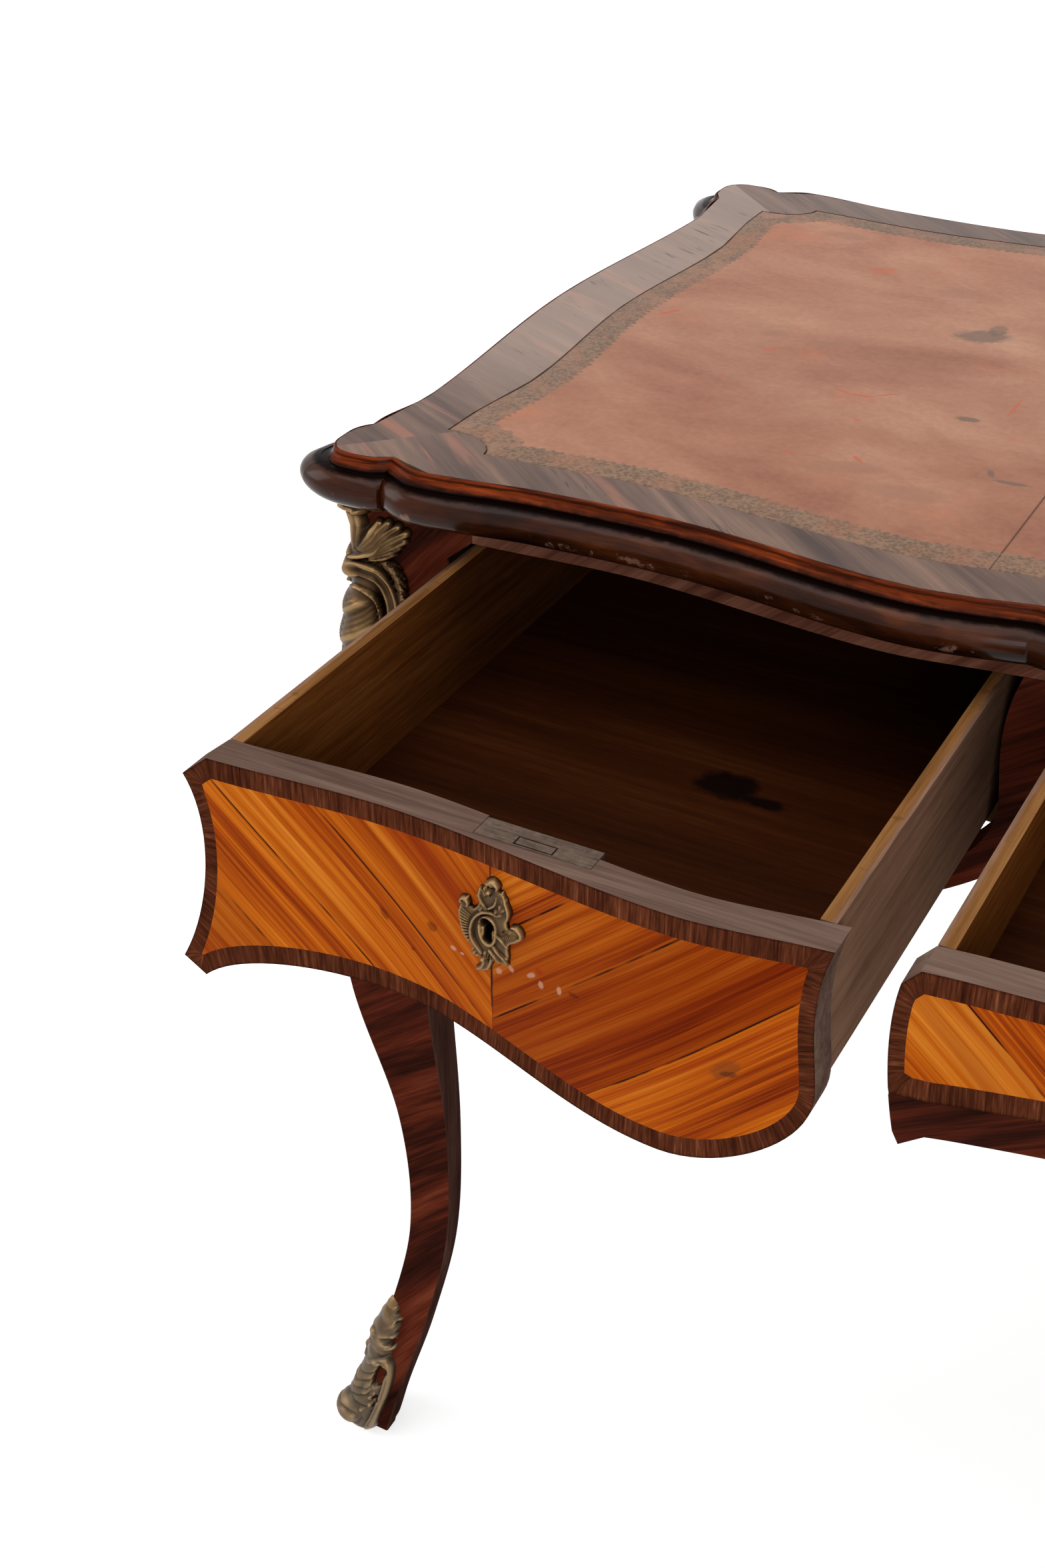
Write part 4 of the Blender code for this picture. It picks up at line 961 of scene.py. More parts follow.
def moulding_finish():
    """Moulded edge: orange cavetto strip, a dark band from the quirk down, dark polished half round with pale
    patches low on it that are partly wear and partly a painted highlight.
    """
    finish = Finish("moulded_edge")
    unrolled = finish.vector(*finish.unrolled())
    x, y, z = finish.place()
    place = finish.vector(x, y, z)
    body, height = finish.wood(unrolled, HALF_ROUND_WOOD, (14.0, 40.0), (20.0, 160.0), (80.0, 900.0),
                               (0.6, 0.25, 0.15))
    finish.colour, _ = finish.wood(unrolled, CAVETTO_WOOD, (26.0, 160.0), (10.0, 320.0))
    drop = HEIGHT - z
    # Drop from the top, made ragged: it places a dark line in the cavetto, a dark band from the quirk down,
    # and the start of the half round.
    ragged_drop = drop + finish.noise(place, 160.0) * 0.0015 - 0.00075
    finish.lay(abs(ragged_drop - 0.0017).window(0.0009, 0.0002) * 0.7, (34, 13, 8))
    finish.lay(ragged_drop.window(0.0040, 0.0060), (18, 8, 6))
    polished = ragged_drop.window(0.0088, 0.0102)
    finish.lay(polished, body)
    # Pale patches low on the half round: partly worn wood, partly a painted highlight.
    worn = finish.noise(place, 75.0, 5.0, 0.7).window(0.57, 0.66)
    low = abs(drop - 0.0215).window(0.0040, 0.0005)
    finish.lay(worn * low * 0.75, (142, 104, 86))
    return finish.done(0.18, polished * 0.11 + 0.02, height, 0.00025)


def top_veneer():
    """Margin of the top: slanting grain that turns at the mitres, with fine cracks, and a painted sheen that
    pales the ends towards the back.
    """
    finish = Finish("top_veneer")
    x, y, _ = finish.place()
    y = y - SHIFT
    end = FLAT_Y - abs(y) > FLAT_X - abs(x)
    # Painted sheen: lighter towards the back, laid on the end margins only (pale is 0 on the long sides).
    painted_sheen = y.window(-0.8 * FLAT_Y, -0.3 * FLAT_Y)
    patch = finish.noise(finish.vector(x, y), 22.0, 3.0).window(0.52, 0.66)
    looks = []
    for lean, pale in ((-40.0, 0.0), (-28.0, 0.46)):
        vector = finish.vector(*leaning(x, y, lean))
        finish.colour, height = finish.wood(vector, KINGWOOD_TOP, (3.5, 36.0), (8.0, 190.0),
                                            weights=(0.58, 0.28, 0.14))
        pink = finish.noise(vector, (5.0, 60.0, 60.0), 4.0, 0.6, 0.5).window(0.57, 0.68)
        finish.lay(pink * 0.65, (158, 100, 77))
        finish.lay(painted_sheen * pale, (182, 156, 141))
        ridge = abs(finish.noise(vector, (9.0, 130.0, 130.0), 2.0) - 0.5)
        crack = ridge.window(0.014, 0.004) * patch
        finish.lay(crack * 0.75, (36, 24, 20))
        looks.append((finish.colour, height - crack * 2.0))
    (long_side, long_height), (short_side, short_height) = looks
    finish.colour = finish.mix(end, long_side, short_side)
    return finish.done(0.34, 0.24, finish.choose(end, long_height, short_height))


def leather_finish():
    """Worn tan leather with a tooled border, stains and scratches, a painted sheen that lightens it towards
    the back, and a painted shadow line round its rim.
    """
    finish = Finish("worn_leather")
    run, inset = finish.unrolled()
    x, y, _ = finish.place()
    flat = finish.vector(x, y)
    cloud = finish.noise(flat, (7.0, 11.0, 1.0), 5.0, 0.62, 0.5)
    speck = finish.noise(flat, 240.0, 3.0, 0.6)
    finish.colour = finish.ramp(cloud * 0.8 + speck * 0.2, (0.34, 154, 102, 80), (0.46, 174, 121, 96),
                                (0.56, 186, 135, 109), (0.68, 202, 153, 126))
    # Painted sheen: darker and warmer towards the front, lighter towards the back.
    depth = (y - SHIFT) * (0.5 / FLAT_Y) + 0.5
    painted_sheen = finish.ramp(depth, (0.08, 228, 219, 214), (0.45, 233, 230, 229), (0.95, 255, 255, 255))
    finish.lay(1.0, painted_sheen, "MULTIPLY")
    finish.lay(finish.noise(flat, 16.0, 4.0, 0.65).window(0.56, 0.72) * 0.35, (190, 112, 80))
    finish.stain(x, y, finish.noise(flat, 150.0, 4.0, 0.65), LEATHER_MARKS)
    seam = abs(abs(x) - LEATHER_CENTRE / 2)
    finish.lay(seam.window(0.0012, 0.0004) * 0.45, (66, 44, 34))
    teeth = finish.math("SINE", run * (2 * math.pi / TOOTH))
    frayed = finish.noise(flat, 130.0, 4.0, 0.7)
    inner = inset + teeth * 0.0011 + frayed * 0.006 - 0.003
    tooled = inner.window(BORDER + 0.0006, BORDER - 0.0014)
    motif = finish.cells(finish.vector(run, inset), 480.0)
    worn = motif * 0.75 + finish.noise(flat, 55.0, 5.0, 0.75) * 0.7
    border = finish.ramp(worn, (0.36, 88, 68, 53), (0.58, 106, 84, 67), (0.74, 120, 97, 79),
                         (0.92, 136, 108, 88))
    rubbed = finish.noise(flat, 34.0, 4.0, 0.7).window(0.36, 0.56)
    finish.lay(tooled * (rubbed * 0.45 + 0.5), border)
    # Painted shadow: a dark line round the leather's edge, broken by its frayed wear.
    rim = inset.window(0.0014, 0.0) * frayed.window(0.36, 0.60)
    finish.lay(rim * 0.75, (70, 52, 42))
    height = finish.cells(flat, 900.0) * 0.6 + cloud * 0.8 + tooled * worn * 0.9
    return finish.done(0.55, 0.2, height, 0.0003, 0.5)


def bronze_finish():
    """Dulled gilt bronze: dark hollows, rubbed high places, greyer near the floor."""
    finish = Finish("gilt_bronze")
    x, y, z = finish.place()
    place = finish.vector(x, y, z)
    patchy = finish.noise(place, 90.0, 4.0, 0.6)
    wear = finish.value("ShaderNodeAttribute", attribute_name="wear", output="Fac")
    finish.colour = finish.ramp(wear * 0.75 + patchy * 0.45 - 0.1, (0.12, 30, 20, 11), (0.38, 66, 48, 30),
                                (0.60, 92, 70, 46), (0.90, 146, 116, 78))
    finish.lay((z + patchy * 0.06).window(0.16, 0.11) * 0.4, (104, 95, 82))
    fine = finish.noise(place, 700.0, 2.0, 0.6)
    return finish.done(patchy * 0.3 + 0.28, 0.2, fine, strength=0.3, metallic=0.9)


def steel_finish():
    finish = Finish("lock_plate")
    place = finish.vector(*finish.place())
    streak = finish.noise(place, (60.0, 900.0, 300.0), 4.0, 0.6)
    spots = finish.noise(place, 220.0, 4.0, 0.65)
    finish.colour = finish.ramp(streak * 0.5 + spots * 0.5, (0.35, 58, 44, 35), (0.5, 88, 70, 57),
                                (0.68, 112, 93, 78))
    return finish.done(0.5, 0.2, streak, 0.0001, 0.4, metallic=0.3)


# Top

def edge_profile():
    """Section of the moulded edge: distance out from the flat top, height above the floor."""
    centre = EDGE_REACH - HALF_ROUND
    middle = UNDER_TOP + HALF_ROUND
    fillet = HEIGHT - ROUND_TOP

    def at(out, down):
        return (out * EDGE_REACH, HEIGHT - down * fillet)

    points = [(0.0, UNDER_TOP), (0.0, HEIGHT), at(0.04, 0.0), at(0.09, 0.05)]
    points += bezier(at(0.11, 0.12), at(0.12, 0.42), at(0.26, 0.62), at(0.40, 0.66), 6)
    points += [at(0.40, 0.66), at(0.46, 0.69), at(0.46, 0.78), at(0.40, 0.96), at(0.40, 1.08)]
    for degrees in range(76, -91, -8):
        angle = math.radians(degrees)
        points.append((centre + HALF_ROUND * math.cos(angle), middle + HALF_ROUND * math.sin(angle)))
    points.append((centre, UNDER_TOP))
    return points


def ear_share(point):
    """From 0 at the ears' notches and beyond to 1 at their corners."""
    across, along = [(abs(place) - reach + EAR) / (EAR - EAR_ROUND)
                     for place, reach in ((point.x, FLAT_X), (point.y, FLAT_Y))]
    return eased(across) * eased(along)


def build_edges(finish):
    loop, corners, sharp = top_outline()
    profile = edge_profile()
    mitres = outward(loop)
    count = len(loop)
    for name, first, last in (("right", 0, 1), ("front", 1, 2), ("left", 2, 3), ("back", 3, 0)):
        start, end = corners[first], corners[last]
        run = [index % count for index in range(start, end + 1 if end > start else end + count + 1)]
        sections = []
        for place, index in enumerate(run):
            point = Vector(loop[index])
            if place in (0, len(run) - 1):
                towards = Vector(loop[run[1]] if place == 0 else loop[run[-2]])
                point += (towards - point).normalized() * SEAT / 2
            swell = ear_share(point)
            ring = []
            for u, z in profile:
                stretch = 1.0 + swell * (EAR_SWELL if z < ROUND_TOP else EAR_TUCK)
                ring.append(point + u * Vector((stretch * mitres[index].x, mitres[index].y)))
            for nick in sharp:
                apart = (index - nick + count // 2) % count - count // 2
                if 0 < abs(apart) < NICK_POINTS:
                    corner = Vector(loop[nick])
                    along = (Vector(loop[(nick + 1) % count]) - Vector(loop[nick - 1])).normalized()
                    over = [(p - corner).dot(along) for p in ring]
                    ring = [p - o * along if o * apart < 0 else p for p, o in zip(ring, over)]
            sections.append([(p.x, p.y, z) for p, (_, z) in zip(ring, profile)])
        piece("moulded_edge_" + name, loft(sections), [finish], "case", ["edge_moulding_" + name],
              crease=28)


def build_leather(finish):
    outline = leather_outline()
    inner_points, beside = inset_loop(outline, BORDER)
    bm = bmesh.new()
    grain = bm.loops.layers.uv.new("grain")
    foot, rim, crown, inner = [[bm.verts.new((x, y, z)) for x, y in points] for points, z in (
        (outline, HEIGHT - VENEER), (outline, HEIGHT - LEATHER_LIP), (offset(outline, -LEATHER_EASE), HEIGHT),
        (inner_points, HEIGHT))]
    runs = runs_of(outline)
    level = range(len(outline))
    border_strip(bm, grain, runs, foot, rim, level, 0.0, 0.0)
    border_strip(bm, grain, runs, rim, crown, level, 0.0, LEATHER_EASE)
    border_strip(bm, grain, runs, crown, inner, beside, LEATHER_EASE, BORDER_END)
    for ring in (inner, foot):
        mapped_face(bm, grain, [(vert, (0.0, 2 * BORDER)) for vert in ring])
    bmesh.ops.triangulate(bm, faces=[f for f in bm.faces if len(f.verts) > 4])
    seam = LEATHER_CENTRE / 2
    for name, low, high in (("left", -FLAT_X, -seam), ("centre", -seam, seam), ("right", seam, FLAT_X)):
        part = bm.copy()
        for x, side in ((low + SEAT / 2, 1.0), (high - SEAT / 2, -1.0)):
            sliced = slice_at(part, x, side, clear_inner=True)
            edges = [e for e in sliced["geom_cut"] if isinstance(e, bmesh.types.BMEdge)]
            if edges:
                bmesh.ops.contextual_create(part, geom=edges)
        piece("leather_top_" + name, part, [finish], "case", ["leather_" + name])
    bm.free()


# Legs

def leg_lines(z):
    """Insets of a leg's corner, outer faces and inner edges at a height, and its turn into the post."""
    share = z / UNDER_TOP
    corner = spline(LEG_CORNER, share)
    swing = eased((share - KNEE_LOW) / (KNEE_HIGH - KNEE_LOW))
    edge = leg_inner_edge()
    inner = spline(LEG_INNER, share) * edge[0][1]
    if share >= KNEE_HIGH:
        inner = float(np.interp(z, *zip(*edge)))
    return corner, corner + swing * (CASE_SETBACK + LINE_LEG - corner), inner, swing


def leg_section(z, x_sign, y_sign):
    """Plan section of a leg, drawn as distances inside the lines of the ears."""
    corner, face, inner, swing = leg_lines(z)
    cheek = (1 - swing) * LEG_CHEEK * (inner - corner) + swing * POST_CHEEK
    back = min(face + cheek, inner - SEAT)
    arris = [(corner + LEG_ARRIS * (1 - math.sin(a)), corner + LEG_ARRIS * (1 - math.cos(a)))
             for a in spread(math.pi / 4, 0.0, 4)]
    half = arris + [((corner + inner) / 2, (face + corner) / 2), (inner - LEG_EASE, face),
                    (inner, face + LEG_EASE), (inner, back - LEG_EASE), (inner - LEG_EASE, back)]
    points = half + [(q, p) for p, q in reversed(half[1:])]
    return [(x_sign * (FLAT_X - p), y_sign * (FLAT_Y - q), z) for p, q in points]


def build_legs():
    heights = [share * UNDER_TOP for share in spread(0.0, 0.04, 6) + spread(0.04, KNEE_HIGH, 66)[1:]]
    heights += [z for z, _ in leg_inner_edge()] + [UNDER_TOP - SEAT]
    for name, x_sign, y_sign in CORNERS:
        finish = leg_veneer("kingwood_leg_" + name, x_sign, y_sign)
        bm = loft([leg_section(z, x_sign, y_sign) for z in heights])
        piece("cabriole_leg_" + name, bm, [finish], "case", ["leg_" + name], crease=40)


# Case

def board_looks(finishes, panel, edge, rear="oak"):
    """Finishes of a veneered board: its crossband, panel, edges and back."""
    return [finishes[name] for name in ("crossband", panel, edge, rear)]


def front_board(name, outline, depth, finishes, nodes, band=0.0, side=1):
    """Board in the desk's front, or in its back where side is -1."""
    bm = veneered_board(outline, lambda x: side * case_front(x), lambda x: side * (case_front(x) + depth),
                        band)
    piece(name, bm, finishes, "case", nodes)


def build_rail(finishes):
    """Rail over the drawers, with pockets for the lock bolts."""
    left = rail_ends()
    rail = [(left, RAIL_BOTTOM), (-left, RAIL_BOTTOM), (-left, CASE_HEAD), (left, CASE_HEAD)]
    bm = veneered_board(rail, case_front, lambda x: case_front(x) + RAIL_DEPTH)
    half = BOLT_WIDTH / 2 + SLIDE
    room = BOLT_THICKNESS / 2 + SLIDE
    pockets = []
    for x in lock_places().values():
        y = case_front(x) + FRONT_THICKNESS - BOLT_PLACE * LOCK_DEPTH
        pockets.append(shape_box((x - half, x + half), (y - room, y + room),
                                 (RAIL_BOTTOM - PAST, RAIL_BOTTOM + BOLT_THROW)))
    piece("rail_over_drawers", cut(bm, *pockets), finishes, "case", ["front_rail"])


def build_case(finishes):
    # The rail takes the lightened kingwood, painted light under the moulded edge.
    build_rail(board_looks(finishes, "kingwood_rail_painted_light", "kingwood_rail_painted_light"))
    plain = board_looks(finishes, "kingwood", "kingwood")
    beside, bottom, right = opening_edges()
    centre, count = centre_front()
    lower = apron_lower_edge()
    split = SIDE_RIGHT - TAIL
    end = split - SEAT
    apron = [(rail_foot(), beside[-1][1] - SEAT)] + [p for p in bottom if p[0] < end - NEAR]
    apron += [(end, crossing(bottom + right, end)), (end, DRAWER_TOP - SIDE_FRONT_DROP - RUN - APRON)]
    apron += [p for p in reversed(lower) if p[0] < end - NEAR]
    top = RAIL_BOTTOM - SEAT
    middle = offset(centre, RUN)[:count]
    stile = [(split, crossing(bottom + right, split))]
    stile += [p for p in bottom + right if p[0] > split and p[1] < top]
    stile += [(right[-1][0], top), (middle[0][0], top)] + [p for p in middle if p[1] < top] + tail_edge()
    middle_x = (SIDE_RIGHT + CENTRE_LEFT) / 2
    sides = (middle_x - DIVIDER_BOARD / 2, middle_x + DIVIDER_BOARD / 2)
    face = max(case_front(x) for x in sides)
    front = face + FRONT_THICKNESS + RUN
    rear = -face - PANEL - SEAT
    foot = DRAWER_TOP - SIDE_BOX_HEIGHT - RUNNER_HEIGHT
    notch = face + STILE_DEPTH + 4 * SEAT
    profile = [(front, foot), (rear, foot), (rear, CASE_HEAD), (notch, CASE_HEAD), (notch, top), (front, top)]
    for hand, sign in (("left", 1), ("right", -1)):
        for name, shape, depth, node in (("apron_strip_", apron, APRON_DEPTH, "apron_"),
                                         ("divider_stile_", stile, STILE_DEPTH, "divider_")):
            front_board(name + hand, [(sign * x, z) for x, z in shape], depth, plain, [node + hand])
        bm = loft([[(sign * x, y, z) for y, z in profile] for x in sides])
        piece("partition_" + hand, bm, [finishes["oak"]], "case", ())

    left = rail_ends() + SEAT
    tail = tail_edge()[::-1]
    shape = [(left, CASE_HEAD), (left, beside[0][1])] + [(x + 2 * SEAT, z) for x, z in beside[1:]]
    ends = len(shape)
    shape += [(rail_foot(), lower[0][1])] + [p for p in lower[1:-1] if p[0] < tail[0][0] - NEAR]
    shape += tail[:-1] + [p for p in centre[count:] if p[0] < -1e-6]
    looks = board_looks(finishes, "chevron_back", "kingwood")
    front_board("veneered_back", shape + mirror_x(shape[::-1]), PANEL, looks, ["back_panel"], BAND, -1)

    half_end = [(x + FLAT_X - FLAT_Y, z) for x, z in shape[:ends + 1]]
    rise = lower[0][1] + END_RISE
    half_end += [(share * FLAT_Y, rise + lift) for share, lift in END_ARCH]
    outline = half_end + mirror_x(half_end[::-1])
    inner = -FLAT_X + CASE_SETBACK + END_HOLLOW + PANEL
    looks = board_looks(finishes, "chevron_end", "kingwood_end")
    for hand, sign in (("left", 1), ("right", -1)):
        bm = veneered_board(outline, case_end, lambda y: inner, BAND)
        for vert in bm.verts:
            y, x, z = vert.co
            vert.co = (sign * x, y, z)
        piece("veneered_end_" + hand, bm, looks, "case", ["end_panel_" + hand])


# Bronze mounts: heights in millimetres over a flat sheet, laid stroke by stroke and then wrapped on the wood

def through(points, steps=8):
    """Smooth line through points."""
    if len(points) == 2:
        return points
    ends = [points[0], *points, points[-1]]
    line = []
    for a, b, c, d in zip(ends, ends[1:], ends[2:], ends[3:]):
        leave = tuple(q + (r - p) / 6 for p, q, r in zip(a, b, c))
        reach = tuple(q - (r - p) / 6 for p, q, r in zip(b, c, d))
        line += bezier(b, leave, reach, c, steps)
    return line + [points[-1]]


def arc(centre, radius, start, end, steps=16):
    """Points round a centre between two angles in degrees; the radius may go from one value to another."""
    first, last = radius if isinstance(radius, tuple) else (radius, radius)
    result = []
    for share in spread(0.0, 1.0, steps):
        angle = math.radians(start + (end - start) * share)
        reach = first + (last - first) * share
        result.append((centre[0] + reach * math.cos(angle), centre[1] + reach * math.sin(angle)))
    return result


def graded(share, values):
    """Values spread evenly along a share from 0 to 1."""
    return np.interp(share, np.linspace(0.0, 1.0, len(values)), values)


def between(value, low, high, ease):
    """1 well inside two limits, 0 outside them."""
    return np.clip((value - low) / ease, 0.0, 1.0) * np.clip((high - value) / ease, 0.0, 1.0)


class Relief:
    """Sheet of heights. Where strokes overlap the higher one shows. A line is a tuple of points that are
    joined smoothly, or a list of points that is taken as it is."""

    def __init__(self, left, right, low, high, cell, mirrored=False):
        self.columns = np.linspace(left, right, round((right - left) / cell) + 1)
        self.rows = np.linspace(low, high, round((high - low) / cell) + 1)
        self.cell = cell
        self.u, self.v = np.meshgrid(np.abs(self.columns) if mirrored else self.columns, self.rows)
        self.height = np.full(self.u.shape, SUNK)

    def lay(self, height):
        self.height = np.maximum(self.height, height)

    def beside(self, line):
        """Share along a line and distance from it, for the whole sheet."""
        if isinstance(line, tuple):
            line = through(line)
        gaps = [math.dist(a, b) for a, b in zip(line, line[1:])]
        nearest = np.full(self.u.shape, np.inf)
        share = np.zeros(self.u.shape)
        run = 0.0
        for (a_u, a_v), (b_u, b_v), gap in zip(line, line[1:], gaps):
            t = ((self.u - a_u) * (b_u - a_u) + (self.v - a_v) * (b_v - a_v)) / gap ** 2
            t = np.clip(t, 0.0, 1.0)
            distance = np.hypot(self.u - a_u - t * (b_u - a_u), self.v - a_v - t * (b_v - a_v))
            share = np.where(distance < nearest, (run + t * gap) / sum(gaps), share)
            nearest = np.minimum(nearest, distance)
            run += gap
        return share, nearest

    def around(self, centre, start, end):
        """Distance from a centre, turn from the middle of two angles in degrees, and half their span."""
        across, up = self.u - centre[0], self.v - centre[1]
        turn = (np.degrees(np.arctan2(up, across)) - (start + end) / 2 + 180.0) % 360.0 - 180.0
        return np.hypot(across, up), turn, (end - start) / 2

    def band(self, line, widths, heights, flutes=0, power=2.6):
        """Roll along a line, with half widths and heights graded from its start to its end."""
        share, distance = self.beside(line)
        reach = distance / graded(share, widths)
        profile = 1.0 - reach ** power
        if flutes:
            profile -= 0.09 * (1.0 - np.cos(2 * math.pi * flutes * np.minimum(reach, 1.0)))
        self.lay(graded(share, heights) * profile)

    def leaf(self, line, widths, heights, lobes, lean=0.35):
        """Lobed leaf along a line, with veins that lean towards its tip and a groove down the middle."""
        share, distance = self.beside(line)
        width = graded(share, widths)
        frill = np.cos(2 * math.pi * lobes * (share - 0.5 * lean * distance / width.max()))
        reach = distance / (width * (1.0 + 0.15 * frill))
        height = graded(share, heights) * (1.0 - reach ** 3)
        height *= 0.87 + 0.13 * frill * np.clip(2 * reach, 0.0, 1.0)
        self.lay(height - 0.45 * np.exp(-(distance / 0.6) ** 2))

    def shell(self, centre, start, end, radius, heights, flutes):
        """Fluted fan between two angles in degrees, with a scalloped rim."""
        distance, turn, half = self.around(centre, start, end)
        frill = -np.cos(math.pi * flutes * (turn / half + 1.0))
        reach = distance / (radius * (1.0 + 0.055 * frill))
        beyond = np.maximum(np.abs(turn) - half, 0.0) * distance / 40.0
        height = graded(np.minimum(reach, 1.0), heights) * (1.0 - reach ** 7)
        self.lay(height * (0.84 + 0.16 * frill * np.clip(2 * reach, 0.0, 1.0)) - beyond ** 2)

    def bead(self, centre, radius, height):
        """Round or oval lump."""
        wide, tall = radius if isinstance(radius, tuple) else (radius, radius)
        self.lay(height * (1.0 - ((self.u - centre[0]) / wide) ** 2 - ((self.v - centre[1]) / tall) ** 2))

    def ball(self, centre, radius, height):
        """Round knob with steep sides."""
        across = ((self.u - centre[0]) / radius[0]) ** 2 + ((self.v - centre[1]) / radius[1]) ** 2
        self.lay(np.where(across < 1.0, height * np.sqrt(np.maximum(1.0 - across, 0.0)), SUNK))

    def spine(self, places):
        """Body over the corner at u = 0, through places from the foot up: v, height and half width."""
        levels, heights, widths = [np.array(values) for values in zip(*places)]
        beyond = np.maximum(self.v - levels[-1], 0.0) + np.maximum(levels[0] - self.v, 0.0)
        reach = self.u / np.interp(self.v, levels, widths)
        self.lay(np.interp(self.v, levels, heights) * (1.0 - reach ** 2.2) - 3.0 * beyond)

    def emboss(self, amount, low, high):
        """Add to the body between two levels, fading out at its rim."""
        inside = between(self.v, low, high, 3.0)
        self.height = self.height + amount * inside * np.clip(self.height / 3.0, 0.0, 1.0)

    def ground(self, outline, height, ease):
        """Flat body inside a closed outline, with rounded edges."""
        _, distance = self.beside(outline)
        inside = np.zeros(self.u.shape, bool)
        for (a_u, a_v), (b_u, b_v) in zip(outline, outline[1:]):
            if a_v != b_v:
                passed = a_u + (self.v - a_v) * (b_u - a_u) / (b_v - a_v)
                inside ^= ((a_v > self.v) != (b_v > self.v)) & (self.u < passed)
        depth = np.where(inside, distance, -distance)
        self.lay(height * (1.0 - np.maximum(1.0 - depth / ease, 0.0) ** 2))

    def flutes(self, centre, start, end, low, high, count, depth):
        """Rays cut into the body between two angles in degrees and two distances from a centre."""
        distance, turn, half = self.around(centre, start, end)
        inside = between(distance, low, high, 1.5) * np.clip((half - np.abs(turn)) / 6.0, 0.0, 1.0)
        self.height = self.height + depth * inside * np.cos(math.pi * count * (turn / half + 1.0))

    def pierce(self, line, radius):
        """Hole along a line."""
        _, distance = self.beside(line)
        self.height = np.minimum(self.height, 6.0 * (distance / radius - 1.0))

    def groove(self, line, width, depth):
        _, distance = self.beside(line)
        self.height = self.height - depth * np.exp(-(distance / width) ** 2)

    def wear(self):
        """From 0 in the hollows to 1 on the ridges."""
        top = np.maximum(self.height, -0.5)
        around = top
        for _ in range(14):
            padded = np.pad(around, 1, mode="edge")
            around = (padded[:-2, 1:-1] + padded[2:, 1:-1] + padded[1:-1, :-2] + padded[1:-1, 2:]) / 4
        return np.clip(0.5 + 0.34 / self.cell * (top - around), 0.0, 1.0)


def cast(relief, wrap):
    """Mesh of a relief. For a row of the sheet wrap(v) gives a function that carries u to a place on the wood
    and the direction away from it."""
    heights = np.maximum(relief.height, SUNK)
    shown = heights > SUNK + 0.01
    cells = shown[:-1, :-1] | shown[1:, :-1] | shown[:-1, 1:] | shown[1:, 1:]
    wear = relief.wear()
    bm = bmesh.new()
    layer = bm.verts.layers.float.new("wear")
    verts = {}
    for row, v in enumerate(relief.rows.tolist()):
        place = wrap(0.001 * v)
        for column, u in enumerate(relief.columns.tolist()):
            if cells[max(row - 1, 0):row + 1, max(column - 1, 0):column + 1].any():
                point, away = place(0.001 * u)
                vert = bm.verts.new(Vector(point) + 0.001 * float(heights[row, column]) * Vector(away))
                vert[layer] = wear[row, column]
                verts[row, column] = vert
    for row, column in zip(*np.nonzero(cells)):
        bm.faces.new([verts[row + up, column + along] for up, along in ((0, 0), (0, 1), (1, 1), (1, 0))])
    return bm


def corner_wrap(foot, x_sign, y_sign):
    """Carries a sheet round a leg's outer corner, with u along the front face and v up from the foot."""

    def wrap(v):
        z = foot + v
        corner, face, inner, _ = leg_lines(z)
        slope = (face - corner) / (inner - corner - LEG_ARRIS)
        stretch = math.hypot(1.0, slope)
        middle = corner + (MOUNT_ROUND * stretch - slope * LEG_ARRIS) / (1.0 - slope)
        turn = math.acos((1.0 - slope) / (math.sqrt(2.0) * stretch))

        def place(u):
            angle = 1.25 * math.pi + min(abs(u) / MOUNT_ROUND, turn)
            away = Vector((math.cos(angle), math.sin(angle)))
            point = Vector((middle, middle)) + MOUNT_ROUND * away
            point += max(abs(u) - MOUNT_ROUND * turn, 0.0) * Vector((-away.y, away.x))
            if u < 0:
                point, away = point.yx, away.yx
            outside = (x_sign * (FLAT_X - point.x), y_sign * (FLAT_Y - point.y), z)
            return outside, (-x_sign * away.x, -y_sign * away.y, 0.0)

        return place

    return wrap


def front_wrap(key_x, key_z):
    """Carries a sheet onto a drawer front, with u and v from its keyhole."""
    return lambda v: lambda u: ((key_x + u, case_front(key_x + u), key_z + v), (0.0, -1.0, 0.0))


